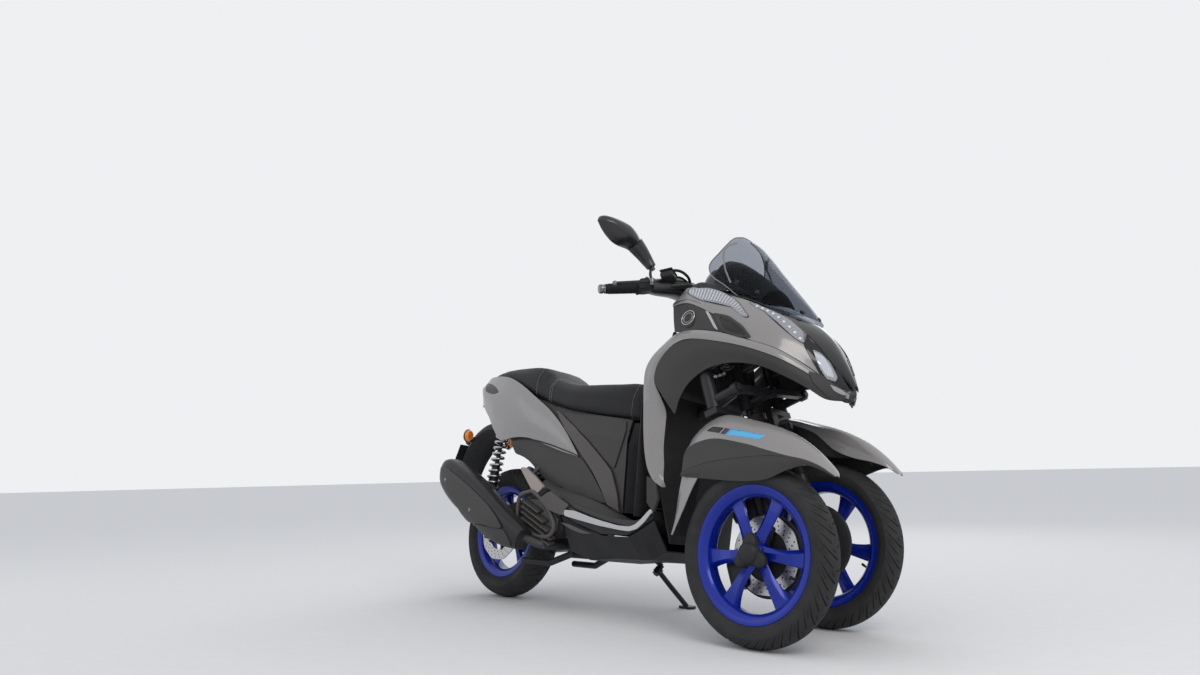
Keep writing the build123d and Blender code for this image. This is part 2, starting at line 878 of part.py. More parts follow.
with BuildPart() as belt_case:
    with BuildSketch(Plane(origin=(0, 84, 0), x_dir=(1, 0, 0), z_dir=(0, -1, 0))):
        with BuildLine():
            Polyline(
                (-860, 300), (-900, 410), (-1010, 440), (-1200, 372), (-1400, 350),
                (-1440, 256), (-1400, 176), (-1200, 190), (-960, 214), close=True,
            )
        make_face()
    extrude(amount=-58)
keep(belt_case.part, "belt_case")

# Shock absorbers: right and left, a coil over a tube.  The coil's turns are rounds on
# one turned profile, between two plates.
coil_radius, coil_core, wire_radius, coil_turns = 24, 18, 5, 9
with BuildPart() as shocks:
    for side, low in ((RIGHT, (-1376, 340)), (LEFT, (-1376, 372))):
        bottom = Vector(low[0], side * 122, low[1])
        top = Vector(-1326, side * 112, 690)
        along = top - bottom
        coil_start, coil_end = along.length * 0.24, along.length * 0.86
        turn = (coil_end - coil_start) / coil_turns
        beside = Plane(origin=bottom, x_dir=along.cross(Vector(0, 1, 0)), z_dir=along)
        section = Plane(origin=bottom, x_dir=beside.x_dir, z_dir=beside.y_dir * -1)
        with BuildSketch(beside):
            Circle(13)
        extrude(amount=along.length)
        with BuildSketch(section):
            with Locations((coil_core / 2, (coil_start + coil_end) / 2)):
                Rectangle(coil_core, coil_end - coil_start)
            for count in range(coil_turns):
                with Locations((coil_radius, coil_start + (count + 0.5) * turn)):
                    Circle(wire_radius)
                with Locations((coil_radius - 4, coil_start + (count + 0.5) * turn)):
                    Rectangle(8, 2 * wire_radius)
            for height in (coil_start - 4, coil_end + 4):
                with Locations((16, height)):
                    Rectangle(32, 8)
        revolve(axis=Axis(bottom, along))
keep(shocks.part, "rear_shocks")

# Silencer: stations along it as height and depth of a many sided section, its outlet
# at the rear and the pipe that feeds it from under the engine
silencer_rows = (
    # x, middle y, middle z, half width, half height
    (-985, -232, 222, 38, 46),
    (-1100, -236, 262, 48, 66),
    (-1300, -226, 360, 60, 78),
    (-1440, -222, 428, 60, 76),
    (-1530, -218, 478, 52, 56),
    (-1548, -218, 490, 40, 38),
)
silencer_run = (0.9, 0, -0.43)
with BuildPart() as silencer:
    for x, y, z, wide, high in silencer_rows:
        with BuildSketch(Plane(origin=(x, y, z), x_dir=(0, 1, 0), z_dir=silencer_run)):
            RegularPolygon(1, 8, rotation=22.5)
            scale(by=(wide, high, 1))
    loft(ruled=True)
    last_x, last_y, last_z = silencer_rows[-1][:3]
    with BuildSketch(Plane(origin=(last_x, last_y, last_z), x_dir=(0, 1, 0), z_dir=silencer_run)):
        Circle(16)
    extrude(amount=40, mode=Mode.SUBTRACT)
keep(silencer.part, "silencer")

pipe_path = ((-910, -50, 268), (-910, -50, 214), (-925, -196, 208), (-1014, -233, 238))
with BuildPart() as exhaust_pipe:
    add(tube(pipe_path, 34, 15))
    add(silencer.part, mode=Mode.SUBTRACT)
    add(engine.part, mode=Mode.SUBTRACT)
keep(exhaust_pipe.part, "exhaust_pipe")

# Arm on the right of the rear wheel, with the axle and two bosses that hold the silencer
with BuildPart() as rear_arm:
    with BuildSketch(Plane(origin=(0, -84, 0), x_dir=(1, 0, 0), z_dir=(0, -1, 0))):
        with BuildLine():
            Polyline(
                (-1080, 350), (-1120, 390), (-1340, 330), (-1392, 290), (-1392, 222),
                (-1330, 214), (-1110, 290), close=True,
            )
        make_face()
    extrude(amount=26)
    for x, z in ((-1290, 318), (-1140, 320)):
        with BuildSketch(Plane(origin=(x, -100, z), z_dir=(0, -1, 0))):
            Circle(12)
        extrude(amount=120)
    add(silencer.part, mode=Mode.SUBTRACT)
    with BuildSketch(Plane(origin=(-wheelbase, -110, rear_height), z_dir=(0, 1, 0))):
        Circle(9.5)
    extrude(amount=193)
keep(rear_arm.part, "rear_arm")

with BuildPart() as radiator:
    with BuildSketch(Plane(origin=(0, -152, 0), x_dir=(1, 0, 0), z_dir=(0, -1, 0))):
        with BuildLine():
            Polyline((-1068, 384), (-1016, 410), (-900, 336), (-860, 272), (-902, 235), (-1046, 258), close=True)
        make_face()
    extrude(amount=-42)
    with BuildSketch(Plane(origin=(0, -152, 0), x_dir=(1, 0, 0), z_dir=(0, -1, 0))):
        for step in range(5):
            with Locations((-985 + 8 * step, 280 + 22 * step)):
                Rectangle(110, 8, rotation=-14)
    extrude(amount=-14, mode=Mode.SUBTRACT)
keep(radiator.part, "radiator_cover")

# Instruments
with BuildPart() as meter:
    with BuildSketch(Plane(origin=(-250, 0, 1128), x_dir=(0, 1, 0), z_dir=(-0.6, 0, 0.8))):
        RectangleRounded(150, 76, 20)
    extrude(amount=26)
keep(meter.part, "meter")

# Seat: x, half width, underside, shoulder and top heights
seat_rows = (
    (-560, 92, 652, 730, 778),
    (-640, 116, 662, 740, 798),
    (-760, 138, 682, 752, 804),
    (-860, 148, 702, 766, 812),
    (-960, 146, 724, 790, 830),
    (-1050, 142, 754, 826, 866),
    (-1110, 140, 776, 850, 893),
    (-1200, 134, 808, 876, 912),
    (-1300, 124, 844, 890, 920),
    (-1400, 108, 870, 896, 926),
    (-1480, 84, 886, 900, 922),
)
with BuildPart() as seat:
    for x, half, low, shoulder, top in seat_rows:
        with BuildSketch(across_x(x)):
            with BuildLine():
                Polyline(
                    (-half, low), (-half + 4, shoulder), (-half * 0.62, top - 6), (0, top),
                    (half * 0.62, top - 6), (half - 4, shoulder), (half, low),
                    close=True,
                )
            make_face()
    loft(ruled=True)
keep(seat.part, "seat")

# Seat hinge: a bracket on the tub with a pin, and a leaf under the seat that turns on it
hinge_x, hinge_z = -548, 638
pin_half, knuckle_half = 34, 20
across_hinge = Plane(origin=(hinge_x, 0, hinge_z), x_dir=(1, 0, 0), z_dir=(0, -1, 0))
with BuildPart() as hinge_bracket:
    with BuildSketch(across_hinge.offset(-pin_half)):
        Circle(5)
    extrude(amount=2 * pin_half)
    for start in (-pin_half, knuckle_half + 2):
        with BuildSketch(across_hinge.offset(start)):
            Circle(8)
            with Locations((-26, -2)):
                Rectangle(52, 12)
        extrude(amount=pin_half - knuckle_half - 2)
    with BuildSketch(across_hinge.offset(-pin_half)):
        with Locations((-50, -20)):
            Rectangle(4, 48)
    extrude(amount=2 * pin_half)
keep(hinge_bracket.part, "seat_hinge_bracket")

with BuildPart() as hinge_leaf:
    with BuildSketch(across_hinge.offset(-knuckle_half)):
        with BuildLine():
            Polyline((-4, 3), (-12, 10), (-46, 18), (-46, 14), (-10, 5.5), (-6, -2), close=True)
        make_face()
        Circle(8)
        Circle(5 + wheel_gap, mode=Mode.SUBTRACT)
    extrude(amount=2 * knuckle_half)
keep(hinge_leaf.part, "seat_hinge_leaf")

# Stands
foot_x, foot_y = -588, 226
foot_z = foot_y * tan(radians(lean))
with BuildPart() as side_stand:
    with BuildSketch(Plane(origin=stand_root - stand_axis * eye_half, z_dir=stand_axis)):
        Circle(stand_eye)
    extrude(amount=2 * eye_half)
    leg_start = stand_root + (stand_knee - stand_root).normalized() * 12
    add(tube((tuple(leg_start), tuple(stand_knee), (foot_x, foot_y - 4, foot_z + 7)), 30, 9))
    with BuildSketch(Plane(origin=stand_root - stand_axis * (eye_half + 3), z_dir=stand_axis)):
        Circle(stand_bolt + wheel_gap)
    extrude(amount=2 * eye_half + 6, mode=Mode.SUBTRACT)
    with BuildSketch(Plane(origin=(foot_x, foot_y, foot_z), x_dir=(1, 0, 0), z_dir=(0, -lean_sin, lean_cos))):
        RectangleRounded(64, 34, 12)
    extrude(amount=9)
keep(side_stand.part, "side_stand")

with BuildPart() as centre_stand:
    for _, side in SIDES:
        add(tube(((-868, side * 96, 186), (-960, side * 112, 150), (-1100, side * 128, 150)), 30, 12))
    with BuildSketch(Plane(origin=(-868, -106, 186), z_dir=(0, 1, 0))):
        Circle(14)
    extrude(amount=212)
keep(centre_stand.part, "centre_stand")

# Turn the machine onto its stand and put the middle of its floor box at the origin
tilted = [piece.moved(Location((0, 0, 0), (-lean, 0, 0))) for piece in pieces]
boxes = [piece.bounding_box() for piece in tilted]
middle_x = (min(box.min.X for box in boxes) + max(box.max.X for box in boxes)) / 2
middle_y = (min(box.min.Y for box in boxes) + max(box.max.Y for box in boxes)) / 2
floor_z = min(box.min.Z for box in boxes)
print(f"moved by {-middle_x:.4f} {-middle_y:.4f} {-floor_z:.4f}")
os.makedirs("parts", exist_ok=True)
for piece, turned in zip(pieces, tilted):
    standing = turned.moved(Location((-middle_x, -middle_y, -floor_z)))
    standing.label = piece.label
    export_step(standing, f"parts/{piece.label}.step")
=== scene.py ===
import math

import bmesh
import bpy
import numpy as np
from mathutils import Matrix, Vector
from mathutils.bvhtree import BVHTree
from mathutils.geometry import delaunay_2d_cdt

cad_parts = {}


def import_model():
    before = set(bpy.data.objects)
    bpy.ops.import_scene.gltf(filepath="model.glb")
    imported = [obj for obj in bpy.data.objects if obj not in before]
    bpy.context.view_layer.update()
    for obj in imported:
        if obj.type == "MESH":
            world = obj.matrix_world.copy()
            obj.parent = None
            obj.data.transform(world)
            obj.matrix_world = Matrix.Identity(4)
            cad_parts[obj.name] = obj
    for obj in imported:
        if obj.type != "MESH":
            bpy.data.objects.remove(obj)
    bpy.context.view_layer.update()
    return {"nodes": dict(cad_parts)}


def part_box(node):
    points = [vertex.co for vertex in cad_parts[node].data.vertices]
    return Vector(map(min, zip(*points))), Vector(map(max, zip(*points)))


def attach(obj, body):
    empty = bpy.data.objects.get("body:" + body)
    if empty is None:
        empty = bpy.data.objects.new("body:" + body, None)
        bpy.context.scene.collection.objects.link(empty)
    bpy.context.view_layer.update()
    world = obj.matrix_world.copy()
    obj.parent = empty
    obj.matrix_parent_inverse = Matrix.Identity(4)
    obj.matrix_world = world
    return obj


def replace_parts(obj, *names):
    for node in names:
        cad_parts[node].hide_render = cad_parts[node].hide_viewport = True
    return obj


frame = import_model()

nodes = frame["nodes"]

# The machine is described upright in millimetres (x forward from the front axle,
# y to the left, z up) and every piece is turned onto the stand with this lean.
LEAN = math.radians(8)
TRACK, CASTER, TRAIL = 385, math.radians(20), 22
REAR_CENTRE = (-1350, 0, 186 + 70 / math.cos(LEAN))
low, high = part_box("rear_tyre")
SWAY = Matrix.Rotation(-LEAN, 3, "X")
SHIFT = (Vector(low) + Vector(high)) / 2 - SWAY @ (Vector(REAR_CENTRE) / 1000)
SWING = math.atan(math.tan(LEAN) / math.cos(CASTER))
REACH = TRACK / 2 * math.cos(SWING)
RISE = TRACK / 2 * math.sin(SWING)
FRONT_HEIGHT = 200 + 50 / math.cos(LEAN)
STEER = Vector((-math.sin(CASTER), 0, math.cos(CASTER)))
ARM = Vector((math.cos(CASTER), 0, math.sin(CASTER)))
RIGHT, LEFT = -1, 1
SIDES = (("right", RIGHT), ("left", LEFT))


def world(point):
    """Row-frame metres of a point of the upright machine in millimetres."""
    return SWAY @ (Vector(point) / 1000) + SHIFT


def kingpin(side, along=0.0, forward=0.0, across=0.0):
    """Point near a steering column: along it, forward of it and to its left."""
    base = Vector((-TRAIL, side * REACH, FRONT_HEIGHT))
    return base + STEER * (along + side * RISE) + ARM * forward + Vector((0, across, 0))


def axle_point(side):
    return kingpin(side) + Vector((TRAIL, 0, 0))


# Materials.
DUST = 0.24


def wire(tree, shader, sockets):
    """Fill a shader node's inputs; another node's output is linked."""
    for key, value in sockets.items():
        if isinstance(value, bpy.types.NodeSocket):
            tree.links.new(value, shader.inputs[key])
        else:
            shader.inputs[key].default_value = value
    return shader


def add_node(tree, kind, sockets, **settings):
    shader = tree.nodes.new(kind)
    for key, value in settings.items():
        setattr(shader, key, value)
    return wire(tree, shader, sockets)


def new_material(name):
    m = bpy.data.materials.new(name)
    m.use_nodes = True
    return m, m.node_tree


def shade(name, color, rough=0.5, metal=0.0, coat=0.0, grain=0.0, scale=400.0, mottle=0.04, dirt=0.0,
        shine=None):
    """Principled finish with a fine grain, uneven gloss and a little dust."""
    m, tree = new_material(name)
    if shine is None:
        shine = 0.5 if coat or metal or max(color) > 0.12 else 0.28
    dusty = [c + (DUST - c) * dirt if dirt else c * 0.94 for c in color]
    where = tree.nodes.new("ShaderNodeTexCoord").outputs["Object"]
    broad = add_node(tree, "ShaderNodeTexNoise", {"Scale": 7, "Detail": 6, "Vector": where})
    gloss = add_node(tree, "ShaderNodeMapRange", {
        "From Min": 0.3, "From Max": 0.7, "To Min": max(0.02, rough - mottle), "To Max": min(1.0, rough + mottle),
        "Value": broad.outputs["Fac"]})
    spots = add_node(tree, "ShaderNodeTexNoise", {"Scale": 22, "Detail": 8, "Vector": where})
    tint = add_node(tree, "ShaderNodeMix", {}, data_type="RGBA")
    wire(tree, tint, {"A": (*color, 1), "B": (*dusty, 1), "Factor": spots.outputs["Fac"]})
    surface = {
        "Metallic": metal, "Coat Weight": coat, "Coat Roughness": 0.08, "Specular IOR Level": shine,
        "Roughness": gloss.outputs["Result"], "Base Color": tint.outputs["Result"]}
    if grain:
        fine = add_node(tree, "ShaderNodeTexNoise", {"Scale": scale, "Detail": 3, "Vector": where})
        bump = add_node(tree, "ShaderNodeBump", {"Strength": grain, "Distance": 0.0006,
            "Height": fine.outputs["Fac"]})
        surface["Normal"] = bump.outputs["Normal"]
    wire(tree, tree.nodes["Principled BSDF"], surface)
    return m


def clear(name, color, mix, tint=(0.93, 0.94, 0.96)):
    """Thin plastic: see-through with a tint, under a sharp reflection."""
    m, tree = new_material(name)
    surface = wire(tree, tree.nodes["Principled BSDF"], {
        "Base Color": (*color, 1), "Roughness": 0.02, "Specular IOR Level": 0.6})
    through = add_node(tree, "ShaderNodeBsdfTransparent", {"Color": (*tint, 1)})
    gauze = add_node(tree, "ShaderNodeTexNoise", {"Scale": 14})
    amount = add_node(tree, "ShaderNodeMapRange", {
        "To Min": mix - 0.03, "To Max": mix + 0.03, "Value": gauze.outputs["Fac"]})
    blend = add_node(tree, "ShaderNodeMixShader", {
        0: amount.outputs["Result"], 1: through.outputs[0], 2: surface.outputs[0]})
    wire(tree, tree.nodes["Material Output"], {"Surface": blend.outputs[0]})
    return m


PALE = shade("pale_panel", (0.24, 0.229, 0.228), rough=0.28, coat=0.6, grain=0.03, scale=900,
    mottle=0.03)
DARK = shade("dark_panel", (0.046, 0.044, 0.044), rough=0.46, grain=0.12, scale=1300, mottle=0.05)
BLACK = shade("black_plastic", (0.014, 0.014, 0.0155), rough=0.55, grain=0.35, scale=1500,
    mottle=0.06, dirt=0.06)
GLOSS = shade("black_gloss", (0.006, 0.006, 0.007), rough=0.14, coat=0.25, mottle=0.02, shine=0.35)
PAINT = shade("black_paint", (0.014, 0.014, 0.016), rough=0.36, grain=0.08, scale=500, dirt=0.05)
CAST = shade("cast_metal", (0.05, 0.05, 0.053), rough=0.5, metal=0.6, grain=0.5, scale=700, dirt=0.12)
STEEL = shade("steel", (0.55, 0.55, 0.56), rough=0.3, metal=1.0, grain=0.1, scale=900)
DISC = shade("disc_steel", (0.5, 0.5, 0.5), rough=0.33, metal=1.0, grain=0.15, scale=1200)
SILVER = shade("silver_trim", (0.46, 0.46, 0.47), rough=0.25, metal=0.9, coat=0.3)
BLUE = shade("blue_rim", (0.002, 0.018, 0.3), rough=0.28, metal=0.2, coat=0.3, mottle=0.02, shine=0.3)
TYRE = shade("tyre", (0.016, 0.016, 0.017), rough=0.78, grain=0.3, scale=900, mottle=0.08, dirt=0.12)
RUBBER = shade("rubber", (0.012, 0.012, 0.012), rough=0.7, grain=0.3, scale=800)
VINYL = shade("seat_vinyl", (0.012, 0.012, 0.014), rough=0.52, grain=0.7, scale=520, mottle=0.06)
THREAD = shade("thread", (0.28, 0.28, 0.3), rough=0.8, grain=0.2)
AMBER = shade("amber_lens", (0.75, 0.2, 0.01), rough=0.15, coat=0.9, mottle=0.02)
RED = shade("red_lens", (0.42, 0.006, 0.006), rough=0.15, coat=0.9, mottle=0.02)
CYAN = shade("cyan_stripe", (0.08, 0.42, 0.75), rough=0.3, coat=0.5, mottle=0.02)
NAVY = shade("navy_stripe", (0.006, 0.016, 0.09), rough=0.3, coat=0.5, mottle=0.02)
BRIGHT = shade("lamp_reflector", (0.32, 0.32, 0.33), rough=0.2, metal=1.0, mottle=0.03)
CHROME = shade("mirror_finish", (0.8, 0.81, 0.83), rough=0.04, metal=1.0, mottle=0.01)
LAMP = shade("lamp_dots", (0.85, 0.86, 0.88), rough=0.2, coat=0.8, mottle=0.02)
# Light grey for the screen's edge and fold lines: a painted highlight on the smoke plastic.
SCREEN_HIGHLIGHT = shade("screen_edge_highlight", (0.16, 0.165, 0.175), rough=0.12, coat=0.8, mottle=0.02)
BLACK_SHEEN = shade("black_sheen", (0.014, 0.014, 0.016), rough=0.3, coat=0.25, grain=0.1, scale=900,
    mottle=0.04)
STEEL_DARK = shade("steel_dark", (0.2, 0.2, 0.21), rough=0.3, metal=1.0, grain=0.1, scale=900)
# A lighter, warmer dark panel; on the sill's fold it is a painted highlight.
DARK_WARM = shade("dark_panel_warm", (0.085, 0.078, 0.074), rough=0.42, grain=0.1, scale=1300,
    mottle=0.05)
# Pale panel painted lighter and warmer: a painted highlight, for the footrest plates.
PALE_HIGHLIGHT = shade("pale_panel_highlight", (0.34, 0.29, 0.27), rough=0.4, grain=0.05, scale=900)
PLATE = shade("blank_plate", (0.62, 0.62, 0.6), rough=0.4, grain=0.05, scale=900)
LCD = shade("meter_field", (0.05, 0.06, 0.055), rough=0.25, coat=0.6, mottle=0.02)
SMOKE = clear("smoke_screen", (0.02, 0.02, 0.024), mix=0.1, tint=(0.62, 0.64, 0.68))
LENS = clear("clear_lens", (0.9, 0.9, 0.9), mix=0.12)

CAD_FINISHES = (
    (BLACK, "arch_liner controls floor grab_rail inner_shield luggage_tub meter mirrors radiator_cover rear_mudguard "
            "seat_box_cover under_cover"),
    (DARK, "arch_trim side_covers"),
    (CAST, "belt_case engine_block exhaust_pipe rear_arm"),
    (PAINT, "centre_stand frame handlebar lower_arm upper_arm seat_hinge_bracket seat_hinge_leaf side_stand silencer "
            "right_upright left_upright right_fork left_fork"),
    (PALE, "front_cowl leg_shields tail_cowls right_mudguard left_mudguard"),
    (DISC, "rear_disc right_front_disc left_front_disc"),
    (BLUE, "rear_rim right_front_rim left_front_rim"),
    (TYRE, "rear_tyre right_front_tyre left_front_tyre"),
    (RUBBER, "grips"), (LENS, "headlamps"), (AMBER, "rear_indicators"), (STEEL, "rear_shocks"),
    (GLOSS, "screen_base"), (VINYL, "seat"), (RED, "tail_lamp"), (SMOKE, "windscreen"),
)
for finish, names in CAD_FINISHES:
    for name in names.split():
        nodes[name].data.materials.clear()
        nodes[name].data.materials.append(finish)


# Meshes
def make(name, verts, faces, finish, body="chassis", slot=None, smooth=True):
    """Piece from points of the upright machine, riding on a body."""
    mesh = bpy.data.meshes.new(name)
    mesh.from_pydata([tuple(world(v)) for v in verts], [], faces)
    mesh.validate()
    mesh.update()
    mesh.polygons.foreach_set("use_smooth", [smooth] * len(mesh.polygons))
    mesh.materials.append(finish)
    obj = bpy.data.objects.new(name, mesh)
    bpy.context.scene.collection.objects.link(obj)
    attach(obj, body)
    return obj


def outward(obj, sharp=None):
    """Turn all faces outwards, and keep edges sharp that bend by more than an angle."""
    bm = bmesh.new()
    bm.from_mesh(obj.data)
    bmesh.ops.recalc_face_normals(bm, faces=bm.faces)
    bm.to_mesh(obj.data)
    bm.free()
    if sharp:
        obj.data.set_sharp_from_angle(angle=math.radians(sharp))
    return obj


def rounding(obj, width, segments=2, angle=38):
    """Small rounded edges, with flat faces kept flat."""
    bevel = obj.modifiers.new("edges", "BEVEL")
    bevel.width = width / 1000
    bevel.segments = segments
    bevel.limit_method = "ANGLE"
    bevel.angle_limit = math.radians(angle)
    bevel.harden_normals = True
    return obj


def curve_points(points, count):
    """Smooth line through the points, evenly spread by length."""
    p = np.array(points, float)
    if len(p) == 2:
        t = np.linspace(0, 1, count)[:, None]
        return p[0] * (1 - t) + p[1] * t
    ends = np.vstack([2 * p[0] - p[1], p, 2 * p[-1] - p[-2]])
    fine = []
    for i in range(1, len(ends) - 2):
        a, b, c, d = ends[i - 1], ends[i], ends[i + 1], ends[i + 2]
        k1, k2, k3 = (max(np.linalg.norm(far - near), 1e-6) ** 0.5 for near, far in ((a, b), (b, c), (c, d)))
        m1 = ((c - b) / k2 - (c - a) / (k1 + k2) + (b - a) / k1) * k2
        m2 = ((d - c) / k3 - (d - b) / (k2 + k3) + (c - b) / k2) * k2
        for t in np.linspace(0, 1, 24, endpoint=False):
            h = 2 * t**3 - 3 * t**2 + 1, t**3 - 2 * t**2 + t, -2 * t**3 + 3 * t**2, t**3 - t**2
            fine.append(h[0] * b + h[1] * m1 + h[2] * c + h[3] * m2)
    fine.append(p[-1])
    fine = np.array(fine)
    far = lengths(fine)
    want = np.linspace(0, far[-1], count)
    return np.stack([np.interp(want, far, fine[:, k]) for k in range(p.shape[1])], axis=1)


def lengths(line):
    """Distance along a line at each of its points."""
    return np.concatenate([[0], np.cumsum(np.linalg.norm(np.diff(line, axis=0), axis=1))])


def sheet_grid(rows, along, across):
    """Dense grid through rows of points: smooth along the rows' order and across each row."""
    rows = np.array(rows, float)
    grid = np.stack([curve_points(rows[:, k], along) for k in range(rows.shape[1])], axis=1)
    return np.array([curve_points(row, across) for row in grid])


def grid_faces(n, m, start=0, closed=False, flip=False):
    faces = []
    for i in range(n - 1):
        for j in range(m - (0 if closed else 1)):
            k = (j + 1) % m
            quad = [start + i * m + j, start + i * m + k, start + (i + 1) * m + k, start + (i + 1) * m + j]
            faces.append(quad[::-1] if flip else quad)
    return faces


def end_faces(n, m):
    """Flat ends of a tube of n rings with m points each."""
    return [list(range(m)), list(range((n - 1) * m, n * m))]


def loop_faces(n, m):
    """Faces of a ring of n closed sections with m points each."""
    return [
        [k * m + j, (k + 1) % n * m + j, (k + 1) % n * m + (j + 1) % m, k * m + (j + 1) % m]
        for k in range(n) for j in range(m)]


def net_faces(tris, count, start=0):
    """Closed faces between two layers of the same flat net, with count points in a layer."""
    edges = dict.fromkeys((a, b) for t in tris for a, b in zip(t, [*t[1:], t[0]]))
    faces = [[start + i for i in t] for t in tris] + [[start + count + i for i in reversed(t)] for t in tris]
    faces += [[start + b, start + a, start + count + a, start + count + b] for a, b in edges if (b, a) not in edges]
    return faces


def solid_sheet(grid, thickness, inward):
    """Points and faces of a closed panel: a grid, and the same moved inwards."""
    n, m = grid.shape[:2]
    normal = np.cross(np.gradient(grid, axis=0), np.gradient(grid, axis=1))
    normal /= np.maximum(np.linalg.norm(normal, axis=2, keepdims=True), 1e-9)
    if np.dot(normal[n // 2, m // 2], inward) > 0:
        normal = -normal
    points = np.concatenate([grid.reshape(-1, 3), (grid - normal * thickness).reshape(-1, 3)])
    faces = grid_faces(n, m) + grid_faces(n, m, n * m, flip=True)
    ring = [i * m for i in range(n)] + [(n - 1) * m + j for j in range(1, m)]
    ring += [i * m + m - 1 for i in range(n - 2, -1, -1)] + list(range(m - 2, 0, -1))
    faces += [[b, a, n * m + a, n * m + b] for a, b in zip(ring, ring[1:] + ring[:1])]
    return points, faces


def sheets(name, grids, finish, body="chassis", thickness=3.0, toward=(0, 0, -1), edge=1.0):
    """Piece made of closed panels on grids; toward is inward, for all or one for each."""
    heap = Heap()
    for k, grid in enumerate(grids):
        heap.add(*solid_sheet(grid, thickness, toward[k] if isinstance(toward, list) else toward))
    obj = outward(make(name, heap.verts, heap.faces, finish, body))
    return rounding(obj, edge) if edge else obj


def panel(name, rows, finish, along=60, across=14, thickness=3.0, inward=(0, -1, 0), edge=1.2):
    """Bent panel on the left side, and its mirror image on the right."""
    grid = sheet_grid(rows, along, across)
    turned = [np.array([1, side, 1]) for side in (1, -1)]
    towards = [np.array(inward) * k for k in turned]
    return sheets(name, [grid * k for k in turned], finish, thickness=thickness, toward=towards, edge=edge)


def box_piece(name, centre, size, finish, body="chassis", turn=(0, 0, 0), edge=3, taper=1.0):
    """Block with rounded edges, narrower at the top by taper."""
    spin_x, spin_y, spin_z = (Matrix.Rotation(math.radians(a), 3, axis) for a, axis in zip(turn, "XYZ"))
    verts = []
    for z, k in ((-0.5, 1), (0.5, taper)):
        for x, y in ((-0.5, -0.5), (0.5, -0.5), (0.5, 0.5), (-0.5, 0.5)):
            corner = Vector((x * size[0] * k, y * size[1] * k, z * size[2]))
            verts.append(Vector(centre) + spin_z @ spin_y @ spin_x @ corner)
    faces = [(3, 2, 1, 0), (4, 5, 6, 7), (0, 1, 5, 4), (1, 2, 6, 5), (2, 3, 7, 6), (3, 0, 4, 7)]
    return rounding(make(name, verts, faces, finish, body), edge, 3)


def oval(count, power=1.0, power_up=1.0):
    """Unit ring of points, squarer as its powers fall below 1."""
    ring = []
    for k in range(count):
        a = 2 * math.pi * k / count
        c, s = math.cos(a), math.sin(a)
        ring.append((math.copysign(abs(c) ** power, c), math.copysign(abs(s) ** power_up, s)))
    return ring


def lathe(centre, axis, profile, turns=48):
    """Points and faces of a profile of (along, radius) pairs turned about an axis."""
    axis = Vector(axis).normalized()
    across = axis.orthogonal().normalized()
    up = axis.cross(across)
    verts = []
    for along, radius in profile:
        verts += [Vector(centre) + axis * along + (across * c + up * s) * radius for c, s in oval(turns)]
    faces = grid_faces(len(profile), turns, closed=True)
    first, last = end_faces(len(profile), turns)
    if profile[0][1] > 0:
        faces.append(first)
    if profile[-1][1] > 0:
        faces.append(last[::-1])
    return verts, faces


class Heap:
    """Many small solids gathered into one piece."""

    def __init__(self):
        self.verts, self.faces = [], []

    def add(self, verts, faces):
        start = len(self.verts)
        self.verts.extend(verts)
        self.faces.extend([[start + i for i in f] for f in faces])

    def loft(self, rings):
        """Skin through closed rings with as many points each, and flat ends."""
        n, m = len(rings), len(rings[0])
        self.add([v for ring in rings for v in ring], grid_faces(n, m, closed=True) + end_faces(n, m))

    def lathe(self, centre, axis, profile, turns=32):
        self.add(*lathe(centre, axis, profile, turns))

    def bolt(self, centre, axis, size=6, head=5, washer=True):
        """Hexagon head on a washer."""
        if washer:
            self.lathe(centre, axis, ((0, size * 1.5), (1.4, size * 1.45), (1.6, size)), 20)
        self.lathe(centre, axis, ((1, size), (head * 0.8, size), (head, size * 0.86)), 6)

    def tube(self, points, radius, sides=12, count=None, radii=None):
        """Round tube on a smooth line; radii are spread evenly over its length."""
        line = curve_points(points, count or max(8, 6 * len(points)))
        tangent = np.gradient(line, axis=0)
        tangent /= np.linalg.norm(tangent, axis=1, keepdims=True)
        up = np.array([0.0, 0.0, 1.0]) if abs(tangent[0][2]) < 0.9 else np.array([1.0, 0.0, 0.0])
        verts = []
        for i, (p, t) in enumerate(zip(line, tangent)):
            across = np.cross(up, t)
            across /= np.linalg.norm(across)
            up = np.cross(t, across)
            r = radius if radii is None else np.interp(i / (len(line) - 1), np.linspace(0, 1, len(radii)), radii)
            verts += [p + (across * c + up * s) * r for c, s in oval(sides)]
        first, last = end_faces(len(line), sides)
        self.add(verts, grid_faces(len(line), sides, closed=True) + [first[::-1], last])

    def build(self, name, finish, body="chassis", slot=None, sharp=42):
        return outward(make(name, self.verts, self.faces, finish, body, slot), sharp)


# Camera of the photograph
PHOTO_WIDTH, PHOTO_HEIGHT = 1200, 675
FOCUS = 830.4
EYE = SHIFT + Vector((1.4325, -2.11, 0.4768))
pitch, roll = math.radians(9.371), math.radians(-1.266)
heading = Vector((-0.7219, 0.6920, 0)).normalized()
ahead = heading * math.cos(pitch) + Vector((0, 0, math.sin(pitch)))
level = ahead.cross(Vector((0, 0, 1))).normalized()
upward = level.cross(ahead)
cam_x = level * math.cos(roll) + upward * math.sin(roll)
cam_y = upward * math.cos(roll) - level * math.sin(roll)
cam_data = bpy.data.cameras.new("camera")
cam_data.sensor_width = 36
cam_data.lens = FOCUS / PHOTO_WIDTH * cam_data.sensor_width
cam = bpy.data.objects.new("camera", cam_data)
bpy.context.scene.collection.objects.link(cam)
cam.matrix_world = Matrix([(cam_x[k], cam_y[k], -ahead[k], EYE[k]) for k in range(3)] + [(0, 0, 0, 1)])
bpy.context.scene.camera = cam
EYE_UPRIGHT = SWAY.transposed() @ (EYE - SHIFT) * 1000


def sight(px, py):
    """Direction from the camera through a point of the photograph, in upright axes."""
    d = cam_x * ((px - PHOTO_WIDTH / 2) / FOCUS) - cam_y * ((py - PHOTO_HEIGHT / 2) / FOCUS) + ahead
    return (SWAY.transposed() @ d).normalized()


